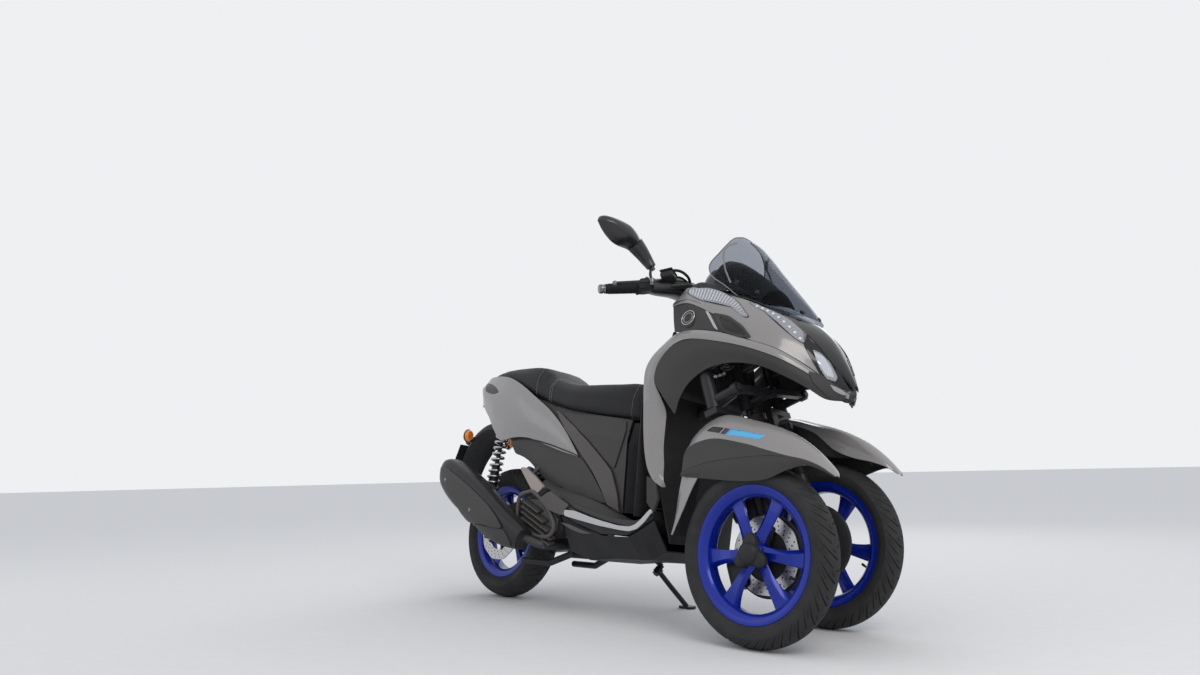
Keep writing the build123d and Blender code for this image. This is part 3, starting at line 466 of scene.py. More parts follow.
class Skin:
    """Surfaces of the right side that drawn outlines are laid on."""

    def __init__(self, *grids):
        verts, faces = [], []
        for grid in grids:
            n, m = grid.shape[:2]
            faces += grid_faces(n, m, len(verts))
            verts += [Vector(v) for v in (grid * np.array([1, -1, 1])).reshape(-1, 3)]
        self.tree = BVHTree.FromPolygons(verts, faces)
        self.reach = 2700

    def hit(self, px, py):
        """Place and outward direction at a point of the photograph; past the rim, the nearest place."""
        d = sight(px, py)
        place, normal, _, _ = self.tree.ray_cast(EYE_UPRIGHT, d)
        if place is None:
            far = EYE_UPRIGHT + d * self.reach
            for _ in range(3):
                near, normal, _, _ = self.tree.find_nearest(far)
                far = EYE_UPRIGHT + d * (near - EYE_UPRIGHT).dot(d)
            place = near
        self.reach = (place - EYE_UPRIGHT).length
        place.y = min(place.y, 0)
        return place, (normal if normal.dot(d) < 0 else -normal)

    def pair(self, px, py):
        """The same place and direction on both sides of the machine."""
        found = self.hit(px, py)
        return [[Vector((v.x, v.y * side, v.z)) for v in found] for side in (1, -1)]


def inside(x, y, outline):
    odd = False
    for (x1, y1), (x2, y2) in zip(outline, outline[1:] + outline[:1]):
        if (y1 > y) != (y2 > y) and x < (x2 - x1) * (y - y1) / (y2 - y1) + x1:
            odd = not odd
    return odd


def traced(outline, skin, lift=1.2, depth=2.5, step=1.6, rounded=True, both=False):
    """Points and faces of a thin piece whose outline is drawn over the photograph."""
    ring = []
    for (x1, y1), (x2, y2) in zip(outline, outline[1:] + outline[:1]):
        parts = max(1, round(math.hypot(x2 - x1, y2 - y1) / step))
        ring += [(x1 + (x2 - x1) * k / parts, y1 + (y2 - y1) * k / parts) for k in range(parts)]
    if rounded:
        p = np.array(ring)
        for _ in range(3):
            p = 0.25 * np.roll(p, 1, 0) + 0.5 * p + 0.25 * np.roll(p, -1, 0)
        ring = [tuple(v) for v in p]
    xs, ys = zip(*ring)
    points = [Vector(v) for v in ring]
    y = min(ys) + step
    while y < max(ys):
        x = min(xs) + step
        while x < max(xs):
            if inside(x, y, ring) and min(math.hypot(x - a, y - b) for a, b in ring) > step * 0.6:
                points.append(Vector((x, y)))
            x += step
        y += step
    edges = [(k, (k + 1) % len(ring)) for k in range(len(ring))]
    flat, _, tris, _, _, _ = delaunay_2d_cdt(points, edges, [], 1, 1e-6)
    hits = [skin.hit(v.x, v.y) for v in flat]
    verts, faces = [], []
    for side in ((1, -1) if both else (1,)):
        faces += net_faces(tris, len(flat), len(verts))
        for shift in (lift, lift - depth):
            for p in (place + normal * shift for place, normal in hits):
                verts.append(Vector((p.x, p.y * side, p.z)))
    return verts, faces


def laid(name, outlines, skin, finish, lift=1.2, depth=2.5, step=1.6, both=True, rounded=True):
    """Thin pieces laid on a skin, with their mirror images."""
    heap = Heap()
    for outline in outlines:
        heap.add(*traced(outline, skin, lift, depth, step, rounded, both))
    return heap.build(name, finish, sharp=50)


# Fairing.  Each station has a point on the upper and one on the lower edge of a panel,
# with y as the distance from the middle plane.
def with_middle(pairs, bulge):
    """Stations with a third point between their edges, pushed outwards."""
    rows = []
    for upper, lower in pairs:
        a, b = np.array(upper, float), np.array(lower, float)
        middle = (a + b) / 2
        out = min(bulge, np.linalg.norm(a - b) * 0.09)
        rows.append((a, middle + np.array([0.35, 0.85, 0.0]) * out, b))
    return rows


strip_pairs = (
    ((-324, 234, 408), (-319, 221, 409)), ((-360, 238, 427), (-333, 218, 430)), ((-386, 241, 466), (-339, 214, 478)),
    ((-402, 242, 520), (-346, 213, 536)), ((-413, 242, 590), (-346, 211, 600)), ((-418, 242, 645), (-349, 208, 648)),
    ((-422, 242, 690), (-362, 222, 692)), ((-424, 243, 740), (-380, 240, 745)), ((-420, 243, 788), (-372, 243, 790)),
    ((-398, 243, 824), (-345, 245, 825)), ((-350, 240, 864), (-300, 247, 856)), ((-300, 235, 895), (-262, 247, 866)),
    ((-240, 232, 899), (-225, 246, 866)), ((-150, 224, 884), (-150, 238, 852)), ((-45, 206, 850), (-50, 220, 826)),
    ((50, 172, 812), (50, 182, 787)), ((114, 119, 765), (114, 127, 746)), ((159, 64, 720), (159, 70, 704)),
    ((191, 14, 696), (189, 18, 680)),
)
band_pairs = (
    ((-306, 222, 640), (-300, 221, 636)), ((-345, 232, 692), (-285, 222, 682)), ((-380, 240, 747), (-264, 222, 716)),
    ((-372, 243, 788), (-240, 222, 738)), ((-345, 245, 823), (-205, 222, 758)), ((-300, 247, 854), (-170, 222, 771)),
    ((-225, 246, 864), (-120, 218, 779)), ((-150, 238, 850), (-75, 210, 779)), ((-50, 220, 824), (-10, 190, 768)),
    ((50, 182, 785), (60, 160, 735)), ((114, 127, 744), (112, 117, 702)), ((159, 70, 702), (147, 76, 674)),
    ((186, 20, 684), (174, 24, 674)),
)
top_pairs = (
    ((-392, 150, 1041), (-352, 204, 1003)), ((-361, 158, 1056), (-330, 204, 1008)),
    ((-329, 158, 1077), (-290, 203, 1006)),
    ((-285, 156, 1068), (-240, 203, 985)), ((-227, 156, 1056), (-190, 203, 957)),
    ((-150, 153, 1022), (-140, 204, 932)),
    ((-77, 150, 990), (-80, 206, 892)), ((-35, 146, 966), (-40, 206, 851)), ((7, 138, 944), (10, 190, 831)),
    ((50, 122, 916), (50, 172, 813)), ((117, 86, 846), (114, 119, 767)), ((164, 47, 775), (159, 64, 722)),
    ((192, 12, 716), (191, 14, 698)),
)
side_pairs = (
    ((-349, 203, 1001), (-318, 224, 905)), ((-290, 202, 1003), (-262, 228, 901)),
    ((-240, 202, 983), (-223, 228, 899)),
    ((-190, 202, 954), (-170, 224, 891)), ((-140, 202, 929), (-125, 219, 878)), ((-80, 204, 889), (-78, 210, 866)),
    ((-42, 205, 852), (-42, 205, 850)),
)
strip_rows = with_middle(strip_pairs, 5)
band_rows = with_middle(band_pairs, 6)
top_rows = with_middle(top_pairs, 9)
side_rows = with_middle(side_pairs, 4)
strip = panel("shield_strip", strip_rows, PALE, along=150, across=10, thickness=4)
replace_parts(strip, "leg_shields")
top_panel = panel("cowl_panel", top_rows, PALE, along=110, across=18, thickness=3.5)
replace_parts(top_panel, "front_cowl")
panel("badge_panel", side_rows, DARK, along=60, across=14, thickness=3.5)
band_panel = panel("arch_band", band_rows, DARK, along=120, across=14, thickness=4)
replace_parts(band_panel, "arch_trim")

# Dark folds behind the lower edges, which close the joints between the panels
for label, pairs, step_in, rise, drop in (("cowl", top_pairs, 5, 13, 14), ("strip", strip_pairs[10:], 6, 10, 12)):
    tuck_rows = [[(x, y - step_in, z + rise), (x, y - step_in - 1, z - drop)] for _, (x, y, z) in pairs]
    panel(f"{label}_tuck", tuck_rows, BLACK, along=60, across=4, thickness=2)
cowl_grids = [
    sheet_grid(rows, along, across)
    for rows, along, across in ((top_rows, 110, 18), (side_rows, 60, 14), (strip_rows, 150, 10),
        (band_rows, 120, 14))]
cowl_skin = Skin(*cowl_grids)

signal_outline = [(688, 294), (690, 289), (696, 286), (708, 288), (722, 292), (737, 301), (749, 317), (743, 317),
    (731, 307), (716, 303), (700, 300)]
strip_outline = [(749, 303), (763, 305), (786, 317), (807, 333), (804, 344), (793, 337), (779, 324), (765, 312)]
vent_outline = [(713, 313), (729, 316), (743, 326), (752, 338), (738, 337), (724, 332), (720, 328)]
vent_hole = [(718, 316), (729, 319), (741, 328), (747, 335), (736, 334), (725, 330), (722, 326)]
bar_outline = [(705, 311), (708, 311), (719, 331), (715, 329)]


def grown(outline, by):
    """Outline moved away from its middle."""
    cx, cy = (sum(v[i] for v in outline) / len(outline) for i in (0, 1))
    moved = []
    for x, y in outline:
        far = math.hypot(x - cx, y - cy)
        moved.append((x + by * (x - cx) / far, y + by * (y - cy) / far))
    return moved


laid("lamp_gaskets", [grown(signal_outline, 1.3), grown(strip_outline, 1.2)], cowl_skin, GLOSS, lift=0.8, depth=3)
laid("signal_bowls", [signal_outline], cowl_skin, BRIGHT, lift=1.2)
uppers = [(691, 289), (708, 288.6), (722, 292.6), (736, 301), (746, 314)]
lowers = [(690, 294), (700, 299), (716, 302), (731, 306), (743, 316)]
flutes = []
for (ax, ay), (bx, by) in zip(curve_points(uppers, 22), curve_points(lowers, 22)):
    flutes.append([(ax - 0.5, ay + 0.6), (ax + 0.5, ay + 0.6), (bx + 0.5, by - 0.6), (bx - 0.5, by - 0.6)])
laid("signal_flutes", flutes, cowl_skin, CHROME, lift=2.2, depth=1.4, step=1.0, rounded=False)
laid("signal_lenses", [signal_outline], cowl_skin, LENS, lift=3.0, depth=1.5)
laid("led_bowls", [strip_outline], cowl_skin, BRIGHT, lift=1.2)
laid("led_lenses", [strip_outline], cowl_skin, LENS, lift=3.0, depth=1.5)
laid("vent_frames", [vent_outline], cowl_skin, DARK, lift=3.2, depth=5)
laid("vent_holes", [vent_hole], cowl_skin, GLOSS, lift=3.6, depth=5)
laid("vent_bars", [bar_outline], cowl_skin, SILVER, lift=3.4, depth=5)

# Plain round boss on the dark panel
BOSS = (688.5, 318)
boss_lift = 2.4
ring = [(BOSS[0] + 6.3 * c, BOSS[1] + 9.4 * s) for c, s in oval(40)]
laid("side_bosses", [ring], cowl_skin, GLOSS, lift=boss_lift, depth=5, step=1.2, rounded=False)
boss_rings = Heap()
for place, out in cowl_skin.pair(*BOSS):
    across = out.cross(Vector((0, 0, 1))).normalized()
    up = out.cross(across)
    for radius, thickness in ((25, 1.9), (17, 1.1)):
        turns = (k * math.pi / 24 for k in range(49))
        loop = [place + out * boss_lift + (across * math.cos(a) + up * math.sin(a)) * radius for a in turns]
        boss_rings.tube(loop, thickness, 10, 97)
boss_rings.build("boss_rings", SILVER)

# Windscreen: height, middle x, edge x, half width
screen_rows = (
    (946, 66, -40, 112), (1000, 26, -112, 132), (1060, -22, -180, 143), (1110, -62, -240, 148),
    (1150, -94, -252, 143),
    (1190, -126, -226, 128), (1225, -155, -214, 104), (1252, -178, -212, 78), (1270, -200, -216, 46),
    (1275, -207, -218, 30),
)
glass_rows = [
    [(edge_x + (mid_x - edge_x) * (1 - abs(t) ** 2.2), half * math.sin(t * math.pi / 2), z)
        for t in np.linspace(-1, 1, 9)]
    for z, mid_x, edge_x, half in screen_rows]
screen_grid = sheet_grid(glass_rows, 60, 41)
screen = outward(make("windscreen_sheet", *solid_sheet(screen_grid, 3.2, (-1, 0, -0.5)), SMOKE), 50)
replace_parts(screen, "windscreen")


# Tyres with cut tread: slanted grooves that the mesh follows.  For each of the four grooves
# of a pattern: start and end as shares of the half width, and depth, on the left and right half.
GROOVES = (
    ((0.03, 0.92, 4.6), (0.34, 0.99, 4.0)), ((0.58, 0.86, 2.6), (0.12, 0.32, 2.4)),
    ((0.34, 0.99, 4.0), (0.03, 0.92, 4.6)), ((0.12, 0.32, 2.4), (0.58, 0.86, 2.6)),
)


def tread_tyre(name, body, centre, size, periods, turn):
    """Tyre from its radius, width, rim flange and crown radius; turn is the way its tread points."""
    radius, width, flange, crown = size
    bead = width * 0.31
    reach = math.radians(64)
    shares = np.linspace(-1, 1, 53)
    arc = [(crown * math.sin(s * reach), radius - crown + crown * math.cos(s * reach)) for s in shares]
    side_x, side_y = arc[-1]
    wall = curve_points([(side_x, side_y), ((side_x + bead + 4.5) / 2 + 4, (side_y + flange) / 2),
        (bead + 4.5, flange + 1)], 14)[1:]
    wall = [(x, y + (0.9 if i in (2, 3, 9) else 0)) for i, (x, y) in enumerate(wall)]
    bottom = [(bead, flange - 0.5), (bead, flange - 11)]
    section = [(-x, y) for x, y in (list(wall) + bottom)[::-1]] + arc + [tuple(v) for v in wall] + bottom
    ns, first = len(section), len(wall) + 2
    half = 2.8 / (2 * math.pi * radius / periods)
    columns = [
        ((count + groove / len(GROOVES) + edge) / periods, GROOVES[groove], low_part)
        for count in range(periods) for groove in range(len(GROOVES))
        for edge, low_part in ((-half, False), (-half * 0.4, True), (half * 0.4, True), (half, False))]
    verts = []
    for place, groove, low_part in columns:
        for j, (across, r) in enumerate(section):
            s = shares[min(max(j - first, 0), len(shares) - 1)]
            if low_part and first <= j < first + len(shares):
                start, stop, deep = groove[0 if s > 0 else 1]
                if start < abs(s) < stop:
                    r = r - deep
            a = 2 * math.pi * (place + 0.95 * turn * abs(s) ** 1.6 / periods)
            verts.append((centre[0] + r * math.sin(a), centre[1] + across, centre[2] + r * math.cos(a)))
    obj = outward(make(f"{name}_tyre_tread", verts, loop_faces(len(columns), ns), TYRE, body), 38)
    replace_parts(obj, f"{name}_tyre")


# Radius, width, rim flange radius, crown radius
FRONT_TYRE, REAR_TYRE = (250, 90, 190, 50), (256, 130, 181, 70)
for name, side in SIDES:
    tread_tyre(f"{name}_front", f"{name}_front_wheel", axle_point(side), FRONT_TYRE, 26, -1)
tread_tyre("rear", "rear_wheel", Vector(REAR_CENTRE), REAR_TYRE, 24, 1)

# Seat: x, half width, underside, shoulder, top
seat_rows = (
    (-556, 70, 656, 716, 764), (-572, 98, 654, 730, 782), (-620, 114, 659, 742, 796), (-700, 128, 672, 752, 801),
    (-780, 140, 686, 758, 805),
    (-860, 147, 702, 768, 811), (-940, 146, 720, 784, 822), (-1000, 143, 738, 802, 838), (-1050, 141, 754, 822, 858),
    (-1085, 140, 766, 840, 884), (-1120, 139, 779, 856, 902), (-1180, 136, 801, 872, 914),
    (-1260, 130, 830, 886, 921),
    (-1340, 119, 854, 896, 925), (-1410, 105, 872, 902, 926), (-1460, 88, 884, 904, 920), (-1482, 70, 890, 902, 912),
)
rows = []
for x, half, under, shoulder, top in seat_rows:
    ring_half = curve_points([
        (0, under), (half * 0.9, under), (half - 1, under + 8), (half + 1, (under + shoulder) / 2),
        (half - 5, shoulder),
        (half * 0.72, top - 8), (half * 0.36, top - 1), (0, top)], 26)
    left_half = [(x, y, z) for y, z in ring_half]
    rows.append(left_half + [(x, -y, z) for x, y, z in left_half[-2:0:-1]])
rows = np.array(rows, float)
dense = np.stack([curve_points(rows[:, k], 170) for k in range(rows.shape[1])], axis=1)
n, m = dense.shape[:2]
for i in range(n):
    for j in range(m):
        p = dense[i, j]
        share = min(j, m - j) / (m / 2)  # 0 at the middle of the underside, 1 at the middle of the top
        if share > 0.35:
            soft = math.sin(p[0] * 0.021 + p[1] * 0.033) * math.sin(p[1] * 0.027 - p[0] * 0.011)
            dense[i, j, 2] += 0.9 * soft
        for seam, deep in ((-1052, 3.0), (-1118, 3.0), (-585, 2.2)):
            if share > 0.42:
                bend = seam + 26 * (abs(p[1]) / 140) ** 2
                dense[i, j, 2] -= deep * math.exp(-(((p[0] - bend) / 5.5) ** 2))
        if 0.6 < share < 0.67:
            dense[i, j] += np.array([0, -np.sign(p[1]) * 1.3, -0.8])
verts = list(dense.reshape(-1, 3))
seat = outward(make("seat_cushion", verts, grid_faces(n, m, closed=True) + end_faces(n, m), VINYL, "seat"))
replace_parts(seat, "seat")

# Mudguards, drawn from the wheel's middle: x forward, out from the machine's middle, z up.
# x, top height, height where the pale part ends, lower edge, share of the skirt's fold line,
# share of the full width, drop of the inner edge
guard_rows = (
    (-254, 246, 228, 214, 0.2, 0.9, 27), (-236, 352, 292, 211, 0.2, 1, 27), (-149, 402, 322, 204, 0.4, 1, 27),
    (-23, 379, 304, 196, 0.62, 1, 34),
    (61, 354, 281, 201, 0.8, 1, 72), (125, 325, 264, 224, 0.9, 0.97, 68), (179, 289, 252, 237, 0.9, 0.87, 44),
    (218, 254, 236, 226, 0.9, 0.7, 22),
    (240, 228, 220, 214, 0.9, 0.46, 10), (248, 214, 211, 208, 0.9, 0.2, 3),
)
flap_rows = ((226, -172, -254), (170, -205, -264), (111, -234, -272), (40, -270, -284))


def on_wheel(grid, side):
    return np.array(axle_point(side)) + np.asarray(grid) * np.array([1, side, 1])


guard_top = sheet_grid(
    [[(x, -51 * w, t - d), (x, -45 * w, t - 0.45 * d), (x, -30 * w, t - 9 * w**2), (x, -6 * w, t),
      (x, 24 * w, t - 0.34 * (t - b)), (x, 53 * w, b)]
     for x, t, b, e, f, w, d in guard_rows], 120, 30)
skirt_up = sheet_grid(
    [[(x, 53 * w, b - 0.5), (x, 55 * w, (b + e + f * (b - e)) / 2), (x, 61 * w, e + f * (b - e))]
        for x, t, b, e, f, w, d in guard_rows], 120, 8)
skirt_low = sheet_grid(
    [[(x, 61 * w, e + f * (b - e) - 1), (x, 60.5 * w, e + f * (b - e) * 0.5), (x, 56.5 * w, e)]
        for x, t, b, e, f, w, d in guard_rows], 120, 8)
wall_rows = [row for row in guard_rows if -240 < row[0] < 200]
guard_wall = sheet_grid(
    [[(x, -45 if x < 0 else -36, t - 26), (x, -49 if x < 0 else -37, t - 58),
        (x, -49 if x < 0 else -37, max(t - 104, 262))]
     for x, t, b, e, f, w, d in wall_rows], 60, 8)
flap_side = sheet_grid([[(a, 57, z), ((a + r) / 2, 54, z), (r, 42, z)] for z, a, r in flap_rows], 50, 14)
flap_back = sheet_grid([[(r, 42, z), (r - 3, 2, z), (r, -40, z)] for z, a, r in flap_rows], 50, 14)
for name, side in SIDES:
    body = f"{name}_fork"
    pale = sheets(f"{name}_guard_top", [on_wheel(g, side) for g in (guard_top, flap_side)], PALE, body)
    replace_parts(pale, f"{name}_mudguard")
    sheets(f"{name}_guard_skirt", [on_wheel(g, side) for g in (skirt_up, skirt_low)], DARK, body,
           thickness=3.0, toward=(0, -side, 0))
    sheets(f"{name}_guard_liner", [on_wheel(g, side) for g in (guard_wall, flap_back)], BLACK, body,
           thickness=2.5, toward=(0, side, 0), edge=0.6)
    stay = Heap()
    for along in (384, 396):
        bend = ((-22, 62), (-5, 40), (12, 62))
        stay.tube([kingpin(side, along, forward, -side * across) for forward, across in bend], 5)
    stay.build(f"{name}_guard_stay", PAINT, body)
guard_skin = Skin(on_wheel(guard_top, RIGHT) * np.array([1, -1, 1]))
decals = (
    ("block", GLOSS, [(706.5, 431), (713, 426.8), (724, 427.8), (719, 433)]),
    ("slash", NAVY, [(720.4, 433.6), (725.6, 428.2), (730.2, 429), (724.6, 434.4)]),
    ("stripe", CYAN, [(725.4, 434.8), (731.4, 429.4), (743, 430.6), (765, 435.2), (759, 439.4)]),
)
for label, finish, outline in decals:
    verts, faces = traced(outline, guard_skin, lift=0.5, depth=1.4, step=1.2, rounded=False)
    offsets = [v - axle_point(RIGHT) for v in verts]
    for name, side in SIDES:
        moved = [axle_point(side) + Vector((v.x, v.y * -side, v.z)) for v in offsets]
        outward(make(f"{name}_guard_{label}", moved, faces, finish, f"{name}_fork"))


# Wheels: bladed rims, hub caps, valves
def ring_loop(centre, loop, turns):
    """Closed section of (along the axle, radius) pairs turned about the axle."""
    verts = [(centre[0] + r * s, centre[1] + y, centre[2] + r * c) for c, s in oval(turns) for y, r in loop]
    return verts, loop_faces(turns, len(loop))


# Blade: share of the way out, chord, thickness, twist, side step, place along the axle
blade_rows = (
    (0.0, 40, 22, -26, -6, 8), (0.16, 36, 20, -18, -3, 10), (0.45, 36, 19, -4, 1, 9), (0.75, 46, 20, 9, 2, 5),
    (0.92, 56, 22, 15, 1, 2), (1.0, 66, 27, 17, 0, 0),
)
blade_section = (
    (-0.5, 0), (-0.48, 0.1), (-0.2, 0.52), (0.46, 0.2), (0.5, 0.08), (0.5, -0.08), (0.44, -0.2), (0.2, -0.46),
    (-0.2, -0.42), (-0.46, -0.12))
BLADES = 6


def bladed_rim(label, body, centre, outer, tyre_size, hub, half, cap):
    """Rim for a tyre, with blades in pairs; hub radius, half the hub's width and the cap's height."""
    _, width, flange, _ = tyre_size
    bead, seat, well = width * 0.31, flange - 12, flange - 32
    lip = bead + 4.5
    loop = [
        (-lip, flange - 1), (-lip + 1.5, flange + 0.5), (-bead, flange), (-bead, seat), (bead, seat), (bead, flange),
        (lip - 1.5, flange + 0.5), (lip, flange - 1), (lip, seat - 3), (lip - 3, seat - 8), (bead - 6, well + 3),
        (bead - 12, well),
        (-bead + 12, well), (-bead + 6, well + 3), (-lip + 3, seat - 8), (-lip, seat - 3),
    ]
    heap = Heap()
    heap.add(*ring_loop(centre, loop, 144))
    stations = curve_points(blade_rows, 22)
    for count in range(BLADES):
        turn = math.radians(120 * (count // 2) - 3 + (26 if count % 2 else -26)) * -outer
        rings = []
        for share, chord, thickness, twist, step, axial in stations:
            r = hub - 8 + (well + 5 - hub + 8) * share
            w = math.radians(twist) * outer
            ring = []
            for u, v in blade_section:
                u, v = u * chord, v * thickness * outer
                along = u * math.cos(w) - v * math.sin(w) + step
                over = u * math.sin(w) + v * math.cos(w) + outer * axial
                ring.append((
                    centre[0] + r * math.sin(turn) + along * math.cos(turn), centre[1] + over,
                    centre[2] + r * math.cos(turn) - along * math.sin(turn)))
            rings.append(ring)
        heap.loft(rings)
    barrel = ((-half, 16), (-half, hub - 5), (-half + 4, hub - 2), (half * 0.6, hub), (half, hub - 4), (half, 16))
    heap.lathe(centre, (0, outer, 0), barrel, 48)
    rim = heap.build(f"{label}_rim_bladed", BLUE, body, sharp=34)
    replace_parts(rim, f"{label}_rim")
    dome = Heap()
    profile = (
        (half - 6, hub * 0.93), (half + 2, hub * 0.97), (cap * 0.72, hub * 0.94), (cap * 0.88, hub * 0.76),
        (cap * 0.97, hub * 0.46), (cap, 4))
    smooth = curve_points(profile, 22)
    dome.lathe(centre, (0, outer, 0), [(half - 6, 2)] + [tuple(v) for v in smooth], 48)
    dome.lathe(centre, (0, -outer, 0), ((half, 11), (half + 3, hub - 8), (half + 5, hub - 9), (half + 6, 11)), 40)
    lobes = []  # a low cover with three lobes, one for each pair of blades
    for over, share in ((half - 10, 0.9), (half - 8, 1.0), (half + 5, 1.0), (half + 10, 0.9), (half + 13, 0.7)):
        ring = []
        for a in (2 * math.pi * k / 72 for k in range(72)):
            r = (hub + 8 + 15 * math.cos(3 * (a * outer + math.radians(3)))) * share
            ring.append((centre[0] - r * math.sin(a), centre[1] + outer * over, centre[2] + r * math.cos(a)))
        lobes.append(ring)
    dome.loft(lobes)
    dome.build(f"{label}_hub_cap", BLACK, body)
    valve = Heap()
    place = math.sin(2.0), math.cos(2.0)
    base = Vector(centre) + Vector((place[0], 0, place[1])) * (well + 1)
    inward = Vector((-place[0], outer * 0.45, -place[1])).normalized()
    valve.lathe(base, inward, ((0, 6), (3, 5), (5, 3.4), (22, 3.2), (23, 4), (34, 4), (35, 3)), 16)
    valve.build(f"{label}_valve", RUBBER, body)


for name, side in SIDES:
    bladed_rim(f"{name}_front", f"{name}_front_wheel", axle_point(side), side, FRONT_TYRE, 34, 34, 62)
bladed_rim("rear", "rear_wheel", Vector(REAR_CENTRE), LEFT, REAR_TYRE, 38, 56, 64)


DISC_THICKNESS, DISC_INNER = 4, 0.66
HOLE_ROWS, HOLE_SPOKES, HOLE_RADIUS = 3, 24, 2.6


def drilled_disc(label, body, centre, inner_side, at, radius, inner):
    """Brake disc with its drilled holes cut through, on a black carrier."""
    points, edges = [], []

    def closed_line(ring):
        start = len(points)
        points.extend(Vector(v) for v in ring)
        edges.extend((start + k, start + (k + 1) % len(ring)) for k in range(len(ring)))

    waves = [1.6 * math.cos(20 * math.pi * k / 96) for k in range(96)]
    closed_line([((radius + wave) * c, (radius + wave) * s) for wave, (c, s) in zip(waves, oval(96))])
    closed_line([(radius * DISC_INNER * c, radius * DISC_INNER * s) for c, s in oval(72)])
    holes = []
    for k in range(HOLE_SPOKES):
        for row in range(HOLE_ROWS):
            r = radius * (0.73 + 0.095 * row)
            a = 2 * math.pi * (k + 0.28 * row) / HOLE_SPOKES
            holes.append((r * math.cos(a), r * math.sin(a)))
    for hx, hy in holes:
        closed_line([(hx + HOLE_RADIUS * c, hy + HOLE_RADIUS * s) for c, s in oval(8)])
    flat, _, tris, _, _, _ = delaunay_2d_cdt(points, edges, [], 0, 1e-5)
    kept = []
    for t in tris:
        c = sum((flat[i] for i in t), Vector((0, 0))) / 3
        in_hole = any((c.x - hx) ** 2 + (c.y - hy) ** 2 < 2.4**2 for hx, hy in holes)
        if radius * DISC_INNER < c.length < radius + 1.7 and not in_hole:
            kept.append(t)
    used = sorted({i for t in kept for i in t})
    index = {v: k for k, v in enumerate(used)}
    verts = [
        (centre[0] + flat[i].x, centre[1] + inner_side * (at + shift), centre[2] + flat[i].y)
        for shift in (0, DISC_THICKNESS) for i in used]
    faces = net_faces([[index[i] for i in t] for t in kept], len(used))
    obj = outward(make(f"{label}_disc_drilled", verts, faces, DISC, body, smooth=False))
    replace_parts(obj, f"{label}_disc")
    carrier = Heap()
    mid = Vector(centre) + Vector((0, inner_side * (at + 2), 0))
    for c, s in oval(5):
        out = Vector((c, 0, s))
        carrier.tube([mid + out * inner, mid + out * radius * 0.5, mid + out * radius * 0.68], 6, 10)
        carrier.bolt(mid + out * radius * 0.69 - Vector((0, inner_side * 2, 0)), (0, -inner_side, 0), 5, 4)
    ring = ((0, 14), (0, inner + 4), (7, inner + 4), (7, 14))
    carrier.lathe(Vector(centre) + Vector((0, inner_side * (at - 2), 0)), (0, inner_side, 0), ring, 40)
    carrier.build(f"{label}_disc_carrier", PAINT, body)


for name, side in SIDES:
    drilled_disc(f"{name}_front", f"{name}_front_wheel", axle_point(side), -side, 38, 110, 24)
drilled_disc("rear", "rear_wheel", Vector(REAR_CENTRE), RIGHT, 60, 115, 28)

# Black covers inboard of the front discs, and the calipers' bolts and hoses
for name, side in SIDES:
    inner = Vector((0, -side, 0))
    c = axle_point(side)
    cover = Heap()
    profile = curve_points([(45, 112), (47, 118), (52, 117), (57, 104), (60, 84), (63, 60), (66, 34), (67, 10)], 26)
    cover.lathe(c, inner, [(47, 8), (45, 60)] + [tuple(v) for v in profile], 72)
    for k in range(5):
        a = 2 * math.pi * k / 5 + 0.3
        cover.bolt(c + inner * 63 + Vector((math.cos(a), 0, math.sin(a))) * 58, inner, 5, 4)
    cover.build(f"{name}_disc_cover", BLACK, f"{name}_fork")
    gear = Heap()
    gear.bolt(c + inner * 88, inner, 13, 9)
    for up in (-6, 46):
        gear.bolt(c + Vector((-104, 0, up)) + inner * 74, inner, 6, 5)
    for height in (200, 206, 212, 218, 224):
        for forward in (48, -6):
            gear.lathe(kingpin(side, height - 4, forward, -side * 75), STEER,
                ((0, 19.5), (1, 20.5), (3, 20.5), (4, 19.5)), 32)
    gear.build(f"{name}_fork_gear", PAINT, f"{name}_fork")
    hose = Heap()
    low_run = [c + Vector((x, 0, z)) + inner * across for x, z, across in ((-104, 62, 60), (-112, 140, 66),
        (-128, 230, 70))]
    hose.tube(low_run + [kingpin(side, 330, -40, -side * 66), kingpin(side, 400, -34, -side * 60)], 3.4, 10, 40)
    hose.build(f"{name}_brake_hose", RUBBER, f"{name}_fork")

# Nose and deck under the screen: x, middle height, edge y, edge z
deck_rows = (
    (-330, 1098, 149, 1074), (-285, 1096, 151, 1065), (-250, 1090, 154, 1054), (-150, 1060, 151, 1022),
    (-50, 1010, 141, 981),
    (50, 945, 117, 914), (118, 880, 84, 845), (168, 798, 46, 766), (204, 722, 13, 706),
)
deck_grid = sheet_grid([
    [(x, s * e, m - (m - z) * abs(s) ** 1.6) for s in (-1, -0.7, -0.35, 0, 0.35, 0.7, 1)] for x, m, e, z in deck_rows
], 90, 31)
deck = sheets("deck_panel", [deck_grid], GLOSS, thickness=4, toward=(-0.3, 0, -1))
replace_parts(deck, "screen_base")
lip_rows = [
    [(168, -42, 702), (188, -15, 709), (202, 0, 714), (188, 15, 709), (168, 42, 702)],
    [(168, -42, 687), (190, -16, 691), (203, 0, 694), (190, 16, 691), (168, 42, 687)],
    [(158, -42, 675), (176, -16, 677), (189, 0, 678), (176, 16, 677), (158, 42, 675)],
]
lip_grid = sheet_grid(lip_rows, 16, 30)
sheets("nose_lip", [lip_grid], DARK, thickness=4, toward=(-1, 0, 0))
front_skin = Skin(*cowl_grids, deck_grid, lip_grid)
nose_outline = [(803, 331), (812, 342), (831, 353), (846, 372), (852, 386), (850, 392), (843, 391), (833, 386),
    (823, 380), (811, 359), (804, 346)]
main_lamp = [(812, 350), (820, 354), (829, 363), (837, 378), (835, 382), (826, 379), (819, 368)]
low_lamp = [(829, 385), (837, 388.5), (843, 391.5), (845.5, 395.5), (841, 395), (834, 391.5)]
